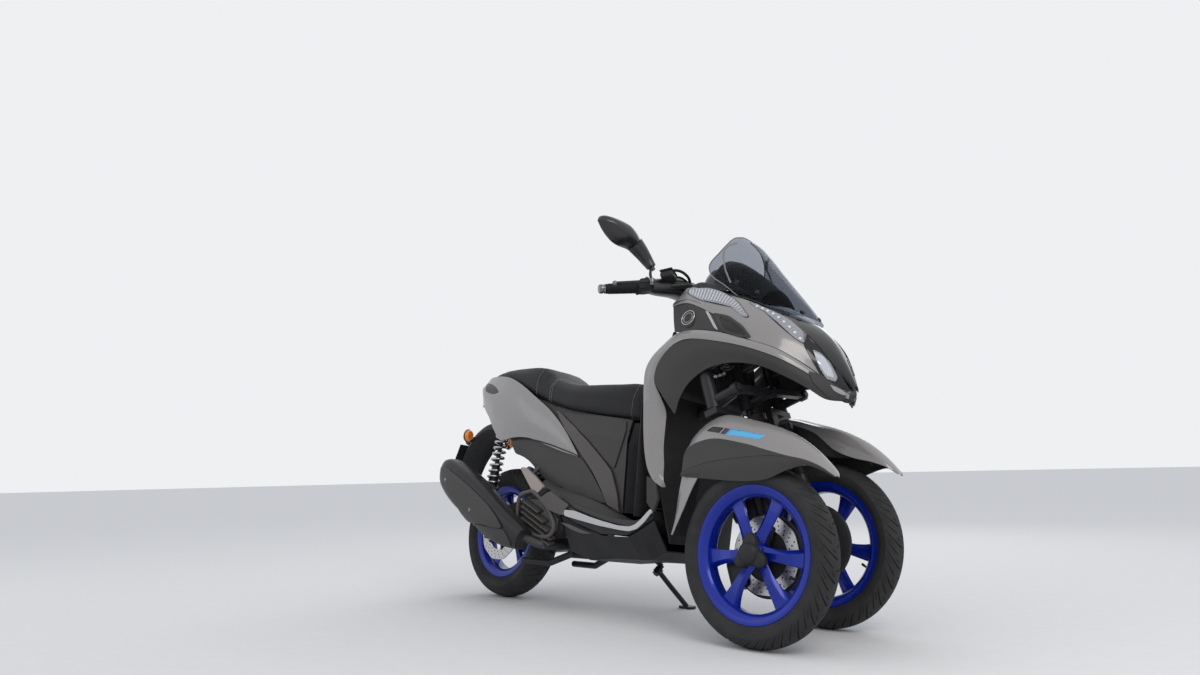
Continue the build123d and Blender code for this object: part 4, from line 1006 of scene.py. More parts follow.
lip_outline = [(808, 371), (822, 375.5), (836, 386), (843, 390), (846, 395), (844.5, 400), (838, 400.5), (828, 397),
    (813, 383)]
laid("nose_gloss", [nose_outline], front_skin, GLOSS, lift=1.5, depth=5, step=1.2)
chin = Heap()
rises = [math.radians(-88 + 11 * i) for i in range(17)]
chin.loft([
    [(176 + 20 * math.cos(rise) * c, 18 * math.cos(rise) * s, 686 + 12 * math.sin(rise)) for c, s in oval(32)]
    for rise in rises])
chin.build("nose_chin", DARK)
laid("nose_lip_sides", [lip_outline], front_skin, DARK, lift=2.5, depth=6, step=1.2)
for label, outline, fine in (("main", main_lamp, 1.2), ("lower", low_lamp, 0.8)):
    bowl = laid(f"{label}_lamp_bowls", [outline], front_skin, BRIGHT, lift=3.2, depth=3, step=fine)
    if label == "main":
        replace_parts(bowl, "headlamps")
    laid(f"{label}_lamp_lenses", [outline], front_skin, LENS, lift=6.0, depth=1.6, step=fine)
shells = [(813, 352), (823, 357), (830, 368), (834, 378), (826, 376), (819, 365)]
laid("lamp_shells", [shells], front_skin, CHROME, lift=4.2, depth=1.2, step=1.2)
led_dots = Heap()
for k in range(9):
    t = k / 8
    for place, out in front_skin.pair(757 + 43 * t, 306.5 + 32 * t - 5 * math.sin(t * math.pi)):
        led_dots.lathe(place + out * 1.0, out, ((0, 4.6), (1.2, 4.2), (1.6, 2.5), (1.7, 0.5)), 14)
led_dots.build("led_dots", LAMP)
top_edge = Heap()
for side in (1, -1):
    top_edge.tube([(x, side * (e + 3), z + 1) for x, m, e, z in deck_rows[:-1]], 2.2, 8, 80)
top_edge.build("deck_seam", BLACK)

# Screen: edge and fold lines on both sides, in a light grey that is a painted highlight on the smoke plastic; screws
glass_edge = Heap()
border = list(screen_grid[:, 0]) + list(screen_grid[-1, 1:-1]) + list(screen_grid[::-1, -1])
glass_edge.tube(border, 2.0, 8, 220)
glass_edge.build("screen_edge_highlight", SCREEN_HIGHLIGHT)
screen_skin = Skin(screen_grid)
fold = [
    (730, 283), (725, 271), (722.5, 258), (723.5, 249), (729, 244), (737, 242), (737.4, 243.2), (729.8, 245.4),
    (725, 250),
    (724, 258), (726.4, 270.6), (731.4, 282.4)]
laid("screen_fold_highlights", [fold], screen_skin, SCREEN_HIGHLIGHT, lift=1.2, depth=1.6, step=1.0, rounded=False)
screws = Heap()
for px, py in ((757, 292), (737, 282), (803, 312)):
    for place, out in screen_skin.pair(px, py):
        profile = ((0, 7), (4, 7.5), (5.5, 7), (6.8, 4.5), (6.4, 2.6), (5.4, 2.2), (5.2, 0.5))
        screws.lathe(place - out * 4, out, profile, 20)
screws.build("screen_screws", PAINT)

# Hood over the instruments and the black backing behind the screen
hood_sections = (
    ((-70, 104, 1004), (-70, 70, 1040), (-66, 0, 1062)), ((-146, 112, 1044), (-146, 80, 1100), (-140, 0, 1130)),
    ((-214, 112, 1072), (-220, 84, 1150), (-222, 0, 1190)), ((-262, 108, 1090), (-262, 82, 1160), (-262, 0, 1206)),
)
hood_rows = [[(x, -y, z) for x, y, z in half] + list(half[1::-1]) for half in hood_sections]
hood_grid = sheet_grid(hood_rows, 40, 41)
sheets("instrument_hood", [hood_grid], BLACK, thickness=4, toward=(-0.4, 0, -1))
collar_rows = [
    [(-180, 146, 1044), (-184, 128, 1062), (-196, 104, 1066)], [(-250, 152, 1062), (-250, 132, 1086),
        (-252, 100, 1092)],
    [(-310, 154, 1074), (-306, 134, 1098), (-302, 92, 1100)], [(-344, 150, 1062), (-338, 124, 1088),
        (-328, 84, 1090)],
]
panel("dash_collars", collar_rows, BLACK, along=40, across=16, thickness=4, inward=(0, -0.3, -1))

# Meter, tilted towards the rider
METER_TILT = -36.87
tilt_up = Vector((-0.6, 0, 0.8))
flat = Vector((-0.8, 0, -0.6))
middle = Vector((-250, 0, 1128)) + tilt_up * 26


def meter_rings(steps):
    """Rounded outlines of the meter, each raised by a shift and scaled by a share."""
    return [
        [middle + Vector((0, c * 80 * grow, 0)) + flat * (s * 42 * grow) + tilt_up * shift
            for c, s in oval(64, 0.55, 0.55)]
        for shift, grow in steps]


face, glass = Heap(), Heap()
face.loft(meter_rings(((-22, 1.0), (1, 1.0), (4, 0.97), (4, 0.9), (1, 0.88))))
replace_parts(face.build("meter_case", BLACK), "meter")
glass.loft(meter_rings(((0.5, 0.87), (2.2, 0.87), (2.6, 0.84))))
glass.build("meter_glass", GLOSS)
for count, (across, down, wide, high) in enumerate(((0, -2, 62, 36), (-50, 0, 20, 30), (50, 0, 20, 30))):
    place = middle + Vector((0, across, 0)) + flat * down + tilt_up * 3.0
    box_piece(f"meter_field_{count}", place, (high, wide, 1.2), LCD, turn=(0, METER_TILT, 0), edge=0.5)

# Mirrors: outline of the head seen from the front, its dished shell, glass and neck
mirror_outline = [
    (-100, 23), (-91, 41), (-55, 47), (18, 41), (55, 23), (84, -7), (94, -32), (78, -48), (36, -43), (-18, -40),
    (-55, -23),
    (-82, 0)]
for name, side in SIDES:
    centre = Vector((-545, side * 286, 1278))
    outline = curve_points(mirror_outline + [mirror_outline[0]], 73)[:-1]
    heap, pane, stalk = Heap(), Heap(), Heap()
    shell_steps = ((-4, 0.93), (-6, 0.97), (-4, 1.0), (2, 1.0), (12, 0.97), (24, 0.87), (36, 0.68), (44, 0.42),
        (47, 0.12))
    for piece, steps in ((heap, shell_steps), (pane, ((-2.5, 0.9), (-4.5, 0.9), (-5.0, 0.87)))):
        piece.loft([
            [centre + Vector((deep + 0.1 * s * grow, -side * s * grow, z * grow)) for s, z in outline]
            for deep, grow in steps])
    neck = [(16, 60, -20), (24, 90, -46), (33, 111, -71), (44, 122, -92)]
    heap.tube([centre + Vector((x, -side * s, z)) for x, s, z in neck], 20, 24, 26, radii=(32, 28, 23, 18))
    end = centre + Vector((44, -side * 122, -92))
    away = Vector((11, -side * 10, -20)).normalized()
    heap.lathe(end, away, ((-4, 16), (2, 15), (5, 9), (14, 8.5), (15, 6)), 24)
    shell = heap.build(f"{name}_mirror_head", BLACK_SHEEN, "handlebar")
    if side == RIGHT:
        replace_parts(shell, "mirrors")
    pane.build(f"{name}_mirror_glass", CHROME, "handlebar")
    stalk.tube([end, (-484, side * 184, 1150), (-470, side * 190, 1120), (-462, side * 196, 1098)], 5.2, 14, 30)
    stalk.lathe((-462, side * 196, 1092), (-0.2, 0.1 * side, 1), ((0, 12), (14, 12), (16, 10), (22, 9.5), (24, 7)),
        24)
    stalk.lathe((-468, side * 194, 1116), (-0.2, 0.1 * side, 1), ((0, 8.5), (9, 8.5)), 6)
    stalk.build(f"{name}_mirror_stalk", PAINT, "handlebar")

# Handlebar: ribbed grips, weights, switch housings, levers, reservoirs and hoses
for name, side in SIDES:
    tip, root = Vector((-545, side * 342, 1061)), Vector((-470, side * 205, 1090))
    run = tip - root
    along = run.normalized()
    ribs = Heap()
    for k in range(17):
        ribs.lathe(root + run * (0.30 + 0.036 * k), along, ((0, 16.9), (0.8, 18.4), (2.6, 18.4), (3.4, 16.9)), 32)
    ribs.lathe(root + run * 0.235, along, ((0, 15), (0, 22.5), (2, 24), (5, 23), (7, 18)), 36)
    ribs.build(f"{name}_grip_ribs", RUBBER, "handlebar")
    weight = Heap()
    weight.lathe(tip - along * 5, along, ((0, 11.5), (0, 15), (3, 16.5), (6, 14), (9, 14), (11, 16), (20, 15.5),
        (23, 13), (23.5, 5)), 32)
    weight.build(f"{name}_bar_weight", STEEL_DARK, "handlebar")
    switch_turn, lid_turn = (0, -8, side * -28), (side * 6, -10, side * -24)
    for part, (x, y, z), size, finish, turn, edge in (
            ("switch_box", (-464, 222, 1089), (48, 44, 44), BLACK, switch_turn, 8),
            ("switch_face", (-490, 226, 1089), (6, 32, 30), DARK, switch_turn, 2),
            ("switch_0", (-494, 218, 1098), (6, 11, 8), RUBBER, switch_turn, 2),
            ("switch_1", (-494, 234, 1098), (6, 11, 8), RUBBER, switch_turn, 2),
            ("switch_2", (-494, 226, 1084), (6, 11, 8), RUBBER, switch_turn, 2),
            ("reservoir", (-408, 172, 1128), (44, 60, 24), BLACK, lid_turn, 7),
            ("reservoir_lid", (-410, 172, 1143), (46, 62, 6), PAINT, lid_turn, 2.5)):
        box_piece(f"{name}_{part}", (x, side * y, z), size, finish, "handlebar", turn=turn, edge=edge)
    bits = Heap()
    for across in (-18, 18):
        place = Vector((-411 - 0.4 * across, side * 172 + across, 1146))
        bits.lathe(place, (-0.15, 0, 1), ((0, 4.5), (1.6, 4.2), (1.6, 1.6), (0.6, 1.4), (0.5, 0.4)), 16)
    bits.lathe((-410, side * 250, 1090), (0, 0, 1), ((-10, 8), (-8, 9), (8, 9), (10, 8)), 24)
    knob = ((-9, 1), (-8, 5), (-5, 8), (0, 9.4), (5, 8), (8, 5), (9, 1))
    bits.lathe((-480, side * 354, 1065.5), (-0.55, side * 0.8, -0.2), knob, 24)
    bits.bolt((-452, side * 232, 1114), (0, 0, 1), 5, 5)
    bits.build(f"{name}_lever_gear", STEEL_DARK, "handlebar")
    hoses = Heap()
    for radius, route in (
            (5, ((-424, 190, 1128), (-404, 168, 1150), (-386, 140, 1154), (-380, 104, 1142), (-392, 76, 1124),
                (-412, 56, 1104))),
            (4, ((-440, 206, 1104), (-412, 170, 1124), (-396, 130, 1136), (-394, 92, 1128), (-414, 66, 1104)))):
        hoses.tube([(x, side * y, z) for x, y, z in route], radius, 12, 50)
    hoses.build(f"{name}_bar_hoses", RUBBER, "handlebar")
    ends = Heap()
    ends.tube([(-420, side * 186, 1134), (-410, side * 172, 1146), (-398, side * 160, 1151)], 6.4, 12, 14)
    ends.lathe((-424, side * 190, 1128), (0.3, -side * 0.5, 0.6), ((0, 8.5), (6, 8.5)), 6)
    ends.build(f"{name}_hose_joints", STEEL, "handlebar")

# Inside of the wheel arch: horn, hoses, connectors and bright joints
horn = Heap()
horn_at, horn_out = Vector((-236, -58, 836)), Vector((0.66, -0.66, 0.16))
horn_profile = ((-18, 12), (-14, 30), (-8, 34), (2, 34), (5, 31), (3, 27), (6, 22), (4, 17), (7, 12), (8, 2))
horn.lathe(horn_at, horn_out, horn_profile, 40)
horn.build("horn", BLACK_SHEEN)
loom = Heap()
for count, (x, y, z) in enumerate(((-256, -82, 800), (-254, -64, 826), (-254, -46, 842), (-252, -92, 838))):
    loom.tube([(x, y, z), (x - 1, y + 12, z - 24), (x - 3, y + 26, z - 50)], 6 + count % 2 * 2, 12, 24)
    loom.lathe((x, y, z - 4), (0.2, -0.2, 1), ((0, 10), (2, 12), (14, 12), (16, 9), (24, 8)), 6)
loom.build("front_loom", RUBBER)
plugs = Heap()
for x, y, z in ((-254, -86, 776), (-254, -66, 784), (-254, -46, 794), (-250, -98, 812)):
    plugs.lathe((x, y, z), (0.25, -0.3, 1), ((0, 8), (3, 10), (9, 10), (12, 7)), 20)
plugs.build("front_unions", STEEL)
backing_rows = [
    [(-330, s * half, z) for s in (-1, -0.5, 0, 0.5, 1)] for z, half in ((700, 214), (770, 230), (850, 230),
        (910, 214))
]
sheets("arch_backing", [sheet_grid(backing_rows, 8, 10)], BLACK, thickness=3, toward=(-1, 0, 0), edge=0)

# Cover round the middle of the bar
cover_stations = ((-212, -462, 1092, 26, 24), (-170, -452, 1100, 34, 31), (-110, -436, 1110, 40, 36),
    (0, -428, 1108, 44, 38))
cover_stations += tuple((-y, x, z, a, b) for y, x, z, a, b in cover_stations[-2::-1])
bar_cover = Heap()
bar_cover.loft([
    [(x + c * wide, y, z + s * high) for c, s in oval(40, 0.8, 0.75)]
    for y, x, z, wide, high in curve_points(cover_stations, 48)])
bar_cover.build("bar_cover", BLACK_SHEEN, "handlebar")

# Rider's side of the leg shield: one smooth shell with pockets, key switch and hook
shield_rows = (  # height, x, half width
    (318, -466, 206), (420, -440, 232), (520, -436, 236), (610, -434, 236), (700, -437, 233), (790, -438, 214),
    (850, -420, 188), (900, -402, 150), (950, -392, 114), (1024, -374, 108))
shield_lines = [
    [(x + 34 * (1 - abs(s) ** 2.6), s * half, z) for s in (-1, -0.8, -0.55, -0.28, 0, 0.28, 0.55, 0.8, 1)]
    for z, x, half in shield_rows]
shield_grid = sheet_grid(shield_lines, 70, 50)
rider_shield = sheets("rider_shield", [shield_grid], BLACK, thickness=3.5, toward=(1, 0, 0), edge=1.4)
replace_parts(rider_shield, "inner_shield")
for name, side in SIDES[::-1]:
    turn = (0, -3, side * 4)
    box_piece(f"pocket_lid_{name}", (-414, side * 100, 760), (16, 130, 150), BLACK, turn=turn, edge=7)
    box_piece(f"pocket_pull_{name}", (-424, side * 100, 820), (8, 46, 12), RUBBER, turn=turn, edge=3)
key = Heap()
key.lathe((-376, -34, 918), (-1, 0, 0.12), ((0, 26), (6, 25), (9, 21), (9, 9), (4, 8.5), (4, 1)), 40)
key.build("key_switch", PAINT)
hook = Heap()
hook.tube([(-400, 0, 760), (-436, 0, 752), (-446, 0, 764), (-440, 0, 778)], 4.5, 12, 24)
hook.lathe((-402, 0, 760), (-1, 0, 0), ((0, 14), (5, 13), (6, 10)), 24)
hook.build("bag_hook", PAINT)

# Lower trim under the leg shields, with its screw
shield_skin = Skin(sheet_grid(strip_rows, 150, 10))
screw_outline = [(660 + 1.3 * c, 476.5 + 1.9 * s) for c, s in oval(12)]
laid("shield_screws", [screw_outline], shield_skin, STEEL_DARK, lift=2.4, depth=4, step=0.8, rounded=False)
feet = Heap()
for side in (1, -1):
    verts = []
    for x, y, z in ((-352, 236, 430), (-392, 236, 440), (-398, 222, 360), (-372, 218, 330), (-346, 226, 372)):
        verts += [Vector((x, side * y, z)), Vector((x, side * (y - 12), z))]
    feet.add(verts, [(0, 2, 4, 6, 8), (9, 7, 5, 3, 1)] + [(2 * k, (2 * k + 2) % 10, (2 * k + 3) % 10, 2 * k + 1)
        for k in range(5)])
rounding(feet.build("shield_feet", DARK), 2.5, 3, 40)

# Outlines below were read from enlarged cut-outs of the photograph: corner, scale
SIDE_CUT, REAR_CUT = ((480, 360), 7.84), ((430, 380), 6.82)


def drawn(points, corner, scale):
    """Photograph points of an outline read from an enlarged cut-out."""
    return [(corner[0] + x / scale, corner[1] + y / scale) for x, y in points]


# Tail cowls: x, upper edge y and z, bulge y and z, lower edge y and z
tail_rows = (
    (-812, 157, 532, 158, 529, 157, 526), (-900, 157, 630, 165, 595, 163, 548), (-990, 157, 706, 171, 640, 165, 575),
    (-1096, 156, 772, 175, 690, 167, 606), (-1200, 152, 832, 173, 740, 165, 612),
    (-1282, 145, 866, 169, 766, 159, 604),
    (-1350, 135, 881, 163, 780, 151, 652), (-1402, 127, 887, 155, 800, 143, 706),
    (-1470, 113, 884, 141, 830, 131, 768),
    (-1500, 101, 866, 125, 846, 123, 822),
)
tail_lines = [[(x, a, b), (x, c, d), (x, e, f)] for x, a, b, c, d, e, f in tail_rows]
tail = panel("tail_panels", tail_lines, PALE, along=110, across=22, thickness=4, edge=1.6)
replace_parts(tail, "tail_cowls")
tail_skin = Skin(sheet_grid(tail_lines, 110, 22))
corner = drawn([(42, 215), (62, 182), (92, 188), (128, 215), (150, 252), (100, 270), (48, 250)], *SIDE_CUT)
laid("tail_insets", [corner], tail_skin, GLOSS, lift=1.2, depth=4, step=1.2)
lower_line = drawn([
    (215, 648), (300, 622), (372, 612), (462, 630), (560, 660), (690, 712), (822, 768), (826, 776), (690, 722),
    (560, 672),
    (462, 641), (372, 624), (300, 634), (220, 660)], *SIDE_CUT)
laid("tail_seams", [lower_line], tail_skin, BLACK, lift=1.0, depth=3, step=1.0, rounded=False)

# Side covers under the seat, as layered panels over the dark inner cover
cover_lines = [
    [(x, 128, t), (x, 150, t - 70), (x, 150, l + 30), (x, 146, l)] for x, t, l in (
        (-574, 648, 330), (-640, 660, 356), (-740, 676, 379), (-860, 698, 404), (-925, 712, 420), (-1000, 732, 452),
        (-1100, 768, 522), (-1186, 800, 551), (-1236, 812, 610))
]
cover_skin = Skin(np.array(cover_lines, float))
facets = (
    ("rear", DARK, 6.0, 5, [
        (218, 655), (300, 630), (370, 624), (460, 640), (560, 672), (690, 724), (812, 776), (868, 862), (928, 972),
        (982, 1080), (998, 1128), (900, 1092), (800, 1052), (720, 1030), (640, 1018), (600, 1018), (550, 965),
        (470, 880),
        (400, 800), (350, 755), (250, 722)]),
    ("band", DARK_WARM, 9.0, 6, [
        (606, 396), (652, 428), (704, 484), (780, 558), (860, 642), (992, 802), (1042, 872), (1064, 960),
        (1086, 1050),
        (1108, 1236), (1042, 1232), (1008, 1130), (966, 1024), (900, 884), (818, 758), (760, 668), (690, 560),
        (640, 478)]),
    ("front", DARK, 5.0, 5, [
        (640, 408), (760, 424), (900, 440), (1156, 474), (1150, 560), (1118, 660), (1056, 858), (1000, 800),
        (864, 636),
        (704, 476)]),
    ("foot", DARK, 4.0, 5, [
        (646, 1030), (720, 1040), (800, 1062), (850, 1084), (996, 1140), (1030, 1222), (950, 1200), (860, 1168),
        (760, 1118),
        (690, 1072)]),
)
for label, finish, lift, depth, outline in facets:
    piece = laid(f"side_{label}_panels", [drawn(outline, *SIDE_CUT)], cover_skin, finish, lift=lift, depth=depth,
        step=1.8)
    rounding(piece, 1.6, 2, 50)
# Glossy black patch at the front of the side covers: painted shade on the front of the seat box.
box_front = drawn([(1166, 470), (1278, 486), (1288, 590), (1272, 596), (1164, 562)], *SIDE_CUT)
laid("seat_box_front_shade", [box_front], cover_skin, GLOSS, lift=1.5, depth=3, step=1.4)

# Sill and bright trim along the floor's edge
sill_rows = [(-380, 200), (-446, 207), (-610, 209), (-735, 207), (-835, 203), (-985, 189), (-1060, 180)]
sill_skin = Skin(np.array([[(x, y, 520), (x, y + 2, 400), (x, y, 240), (x, y - 30, 160)] for x, y in sill_rows],
    float))
bright = drawn([
    (656, 1172), (740, 1180), (860, 1228), (960, 1262), (1080, 1296), (1168, 1306), (1215, 1290), (1262, 1248),
    (1336, 1164),
    (1362, 1178), (1292, 1272), (1230, 1328), (1166, 1346), (1080, 1332), (930, 1300), (780, 1258), (660, 1222)],
    *SIDE_CUT)
trim = laid("sill_trim", [bright], sill_skin, SILVER, lift=3.0, depth=9, step=1.4)
rounding(trim, 1.8, 3, 50)
sill_facets = (
    ("rear", DARK_WARM, 3.5, [
        (455, 1095), (548, 1024), (600, 1062), (648, 1100), (706, 1140), (664, 1170), (664, 1222), (600, 1204),
        (545, 1176),
        (500, 1140)]),
    ("upper", DARK, -8, [
        (596, 1046), (640, 1072), (740, 1128), (900, 1196), (1040, 1238), (1150, 1256), (1210, 1258), (1252, 1238),
        (1210, 1284), (1166, 1300), (1080, 1290), (960, 1254), (860, 1218), (740, 1166), (690, 1136), (640, 1096)]),
    # The fold strip is lighter and warmer than the panel around it: a painted highlight along the crease.
    ("fold", DARK_WARM, 1.5, [(626, 1270), (700, 1288), (790, 1330), (880, 1362), (800, 1362), (712, 1328)]),
)
for label, finish, lift, outline in sill_facets:
    piece = laid(f"sill_{label}", [drawn(outline, *SIDE_CUT)], sill_skin, finish, lift=lift, depth=7, step=1.6)
    rounding(piece, 1.6, 2, 50)
sill_top = [
    [(-392, 196, 338), (-392, 180, 346), (-392, 150, 350)], [(-446, 204, 304), (-446, 182, 316), (-446, 150, 322)],
    [(-500, 206, 284), (-500, 184, 300), (-500, 148, 306)], [(-610, 206, 286), (-610, 180, 312), (-610, 147, 340)],
    [(-735, 204, 318), (-735, 180, 346), (-735, 147, 382)], [(-835, 200, 354), (-835, 178, 380), (-835, 148, 404)],
    [(-930, 192, 392), (-930, 174, 414), (-930, 148, 428)], [(-985, 186, 414), (-985, 170, 434), (-985, 148, 450)],
]
panel("sill_shelves", sill_top, DARK, along=80, across=10, thickness=3, inward=(0, 0, -1))
mat = Heap()
for row in range(9):
    x = -452 - row * 17
    mat.tube([(x, y, 286 if x < -480 else 296) for y in (-150, 0, 150)], 2.6, 8, 12)
mat.build("floor_ribs", RUBBER)

# Folded footrests for the passenger
peg_skin = Skin(np.array([[(-1120, 180, 560), (-1120, 180, 300)], [(-880, 196, 560), (-880, 196, 300)]], float))
peg = drawn([(318, 842), (358, 838), (440, 918), (505, 994), (470, 1030), (434, 1064), (372, 950)], *SIDE_CUT)
peg_end = drawn([(436, 1068), (504, 998), (546, 1020), (500, 1056), (468, 1088)], *SIDE_CUT)
# The footrest plates are a pale panel with a painted highlight.
rounding(laid("footrest_plates", [peg], peg_skin, PALE_HIGHLIGHT, lift=4, depth=12, step=1.6), 2, 3, 50)
rounding(laid("footrest_ends", [peg_end], peg_skin, RUBBER, lift=6, depth=18, step=1.6), 2, 3, 50)
pegs = Heap()
for side in (1, -1):
    pegs.tube([(-1030, side * 128, 520), (-1040, side * 160, 478), (-1050, side * 178, 452)], 9, 12, 14)
    pegs.lathe((-1064, side * 168, 478), (0, side, 0.2), ((-10, 13), (-8, 15), (10, 15), (12, 12)), 20)
pegs.build("footrest_stays", CAST)

# Radiator grille on the right: frame, slats and core
grille = [(-1078, 380), (-1016, 398), (-976, 384), (-908, 336), (-866, 274), (-894, 240), (-1040, 252), (-1070, 262)]
surround = Heap()
loop = [(x, -193, z) for x, z in grille]
surround.tube(loop + loop[:2], 7.5, 12, 130)
surround.build("grille_frame", DARK_WARM, slot="black_plastic")
slats = Heap()
for k, front_end in enumerate((-962, -926, -898, -880, -884, -910)):
    high, rear_end = 366 - 21 * k, -1064 + 2 * k
    slats.loft([
        [(x, -197, z - 4), (x, -197, z), (x, -168, z + 10), (x, -168, z + 6)]
        for x, z in ((rear_end, high), (front_end, high - 0.42 * (front_end - rear_end)))])
rounding(slats.build("grille_slats", DARK_WARM), 1.2)
core = Heap()
CORE_FOOT, CORE_TOP = 262, 372
for x in (-1052 + 6.6 * k for k in range(26)):
    end = min(CORE_TOP, 384 - 0.9 * (x + 976)) if x > -976 else CORE_TOP
    if end > CORE_FOOT:
        core.lathe((x, -160, CORE_FOOT), (0, 0, 1), ((0, 1.4), (end - CORE_FOOT, 1.4)), 6)
core.build("radiator_core", STEEL_DARK)

# Silencer: stations x, y, z, half width, half height
pipe_rows = (
    (-985, -232, 222, 34, 40), (-1010, -233, 230, 38, 47), (-1100, -236, 262, 47, 64), (-1300, -226, 360, 58, 77),
    (-1440, -222, 428, 58, 75), (-1520, -219, 472, 52, 60), (-1544, -218, 487, 42, 44),
)
run_dir = Vector((0.9, 0, -0.43)).normalized()
high_dir = Vector((0.43, 0, 0.9)).normalized()
pipe_grid = []
for x, y, z, wide, high in curve_points(pipe_rows, 54):
    pipe_grid.append([
        tuple(Vector((x, y, z)) + high_dir * (up * high) + Vector((0, across * wide * (0.92 + 0.08 * s), 0)))
        for (across, up), (_, s) in zip(oval(48, 0.62, 0.85), oval(48))])
can = Heap()
can.loft(pipe_grid)
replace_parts(can.build("silencer_can", PAINT), "silencer")
pipe_grid = np.array(pipe_grid)
outlet = Heap()
outlet_profile = ((0, 24), (8, 24), (14, 21), (26, 20), (27, 18), (26, 16), (8, 16), (6, 1))
outlet.lathe(Vector(pipe_rows[-1][:3]) + run_dir * 6, -run_dir, outlet_profile, 32)
outlet.build("silencer_tip", STEEL_DARK)
closed_rows = np.concatenate([pipe_grid, pipe_grid[:, :1]], axis=1) * np.array([1, -1, 1])
pipe_skin = Skin(closed_rows)
plate = drawn([
    (80, 604), (98, 588), (130, 604), (210, 672), (290, 742), (400, 852), (462, 940), (498, 1012), (440, 1008),
    (380, 988),
    (300, 972), (268, 958), (220, 900), (160, 806), (104, 700)], *REAR_CUT)
plate_low = drawn([
    (292, 978), (330, 984), (400, 1002), (500, 1018), (530, 1066), (558, 1138), (480, 1110), (400, 1070), (326, 1022)
], *REAR_CUT)
scoop = drawn([(296, 966), (350, 952), (420, 968), (500, 1012), (420, 1000), (350, 980)], *REAR_CUT)
rounding(laid("silencer_plate", [plate], pipe_skin, DARK, lift=9, depth=9, step=1.4, both=False), 2.4, 3, 50)
rounding(laid("silencer_plate_low", [plate_low], pipe_skin, DARK, lift=4, depth=5, step=1.4, both=False), 2, 3, 50)
laid("silencer_scoop", [scoop], pipe_skin, GLOSS, lift=1.5, depth=3, step=1.2, both=False)
heads = Heap()
for px, py in ((447.2, 480), (471.5, 510)):
    spot, out = pipe_skin.hit(px, py)
    out = (out + Vector((0, -1, 0))).normalized()
    heads.lathe(spot + out * 3, out, ((0, 9), (7, 8.5), (7.5, 6)), 20)
    heads.bolt(spot + out * 8, out, 4.6, 4, False)
heads.build("silencer_bolts", STEEL_DARK)
bracket = Heap()
hole = [(-1276, 398), (-1262, 372), (-1244, 352), (-1238, 396)]
outer = [(-1316, 404), (-1286, 420), (-1236, 420), (-1222, 400), (-1196, 330), (-1206, 318), (-1240, 330)]
edges = [(k, (k + 1) % 7) for k in range(7)] + [(7 + k, 7 + (k + 1) % 4) for k in range(4)]
net, _, tris, _, _, _ = delaunay_2d_cdt([Vector(v) for v in outer + hole], edges, [], 1, 1e-6)
kept = [t for t in tris if not inside(sum(net[i].x for i in t) / 3, sum(net[i].y for i in t) / 3, hole)]
bracket.add([(v.x, y, v.y) for y in (-212, -198) for v in net], net_faces(kept, len(net)))
rounding(bracket.build("silencer_bracket", DARK), 2, 3, 50)

# Shock absorbers with wound coils; the body's profile is in shares of its length
COIL_TURNS, COIL_RADIUS = 9, 24
shock_profile = (
    (0.06, 12), (0.2, 17), (0.21, 30), (0.235, 31), (0.25, 20), (0.5, 16), (0.5, 9), (0.84, 8), (0.86, 30),
    (0.885, 31),
    (0.89, 18), (0.97, 13))
shock, coils = Heap(), Heap()
for side, height in ((RIGHT, 340), (LEFT, 372)):
    foot, head = Vector((-1376, side * 122, height)), Vector((-1326, side * 112, 690))
    line = head - foot
    along = line.normalized()
    across = along.orthogonal().normalized()
    up = along.cross(across)
    route = []
    for t in (k / (COIL_TURNS * 16) for k in range(COIL_TURNS * 16 + 1)):
        a = 2 * math.pi * COIL_TURNS * t
        route.append(foot + line * (0.25 + 0.6 * t) + (across * math.cos(a) + up * math.sin(a)) * COIL_RADIUS)
    coils.tube(route, 4.6, 10, COIL_TURNS * 22)
    shock.lathe(foot, along, [(line.length * share, radius) for share, radius in shock_profile], 28)
    for end in (foot, head):
        shock.lathe(end, (0, side, 0), ((-15, 16), (-13, 18), (13, 18), (15, 16)), 24)
        shock.bolt(end + Vector((0, side * 15, 0)), (0, side, 0), 8, 8)
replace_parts(coils.build("shock_coils", STEEL), "rear_shocks")
shock.build("shock_bodies", PAINT)

# Rear signals, tail lamp details, plate holder and mudguard
signals, stalks, bezel = Heap(), Heap(), Heap()
dome_steps = (
    (-24, 0.3), (-22, 0.72), (-14, 0.94), (0, 1.0), (4, 1.0), (10, 0.92), (15, 0.7), (18, 0.35), (18.6, 0.05))
cup_steps = ((2, 1.02), (1.5, 1.09), (-3.5, 1.09), (-4, 1.02), (-1, 0.9))
for side in (1, -1):
    at = Vector((-1590, side * 112, 646))
    for piece, steps in ((signals, dome_steps), (bezel, cup_steps)):
        piece.loft([[at + Vector((-back, 19 * grow * c, 26 * grow * s)) for c, s in oval(32)]
            for back, grow in steps])
    stalk_line = [at + Vector((14, -side * 6, -18)), at + Vector((10, -side * 22, -20)), (-1600, side * 72, 640)]
    stalks.tube(stalk_line, 7, 14, 20, radii=(8, 6.5, 8.5))
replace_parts(signals.build("signal_domes", AMBER), "rear_indicators")
bezel.build("signal_cups", BLACK)
stalks.build("signal_stalks", RUBBER)
tail_lamp_rows = (  # x, half width, foot, top
    (-1424, 116, 720, 800), (-1470, 114, 738, 822), (-1502, 106, 760, 836), (-1526, 84, 780, 836),
    (-1537, 50, 792, 834))
lamp_shell, lamp_ribs = Heap(), Heap()
lamp_shell.loft([
    [(x, c * half, (foot + top) / 2 + s * (top - foot) / 2) for c, s in oval(48, 0.35, 0.45)]
    for x, half, foot, top in curve_points(tail_lamp_rows, 20)])
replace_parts(lamp_shell.build("tail_lamp_lens", RED), "tail_lamp")
for z in (772, 800, 822):
    bend = ((-1476, 117), (-1512, 104), (-1538, 58), (-1542, 0), (-1538, -58), (-1512, -104), (-1476, -117))
    lamp_ribs.tube([(x, y, z) for x, y in bend], 2.2, 8, 60)
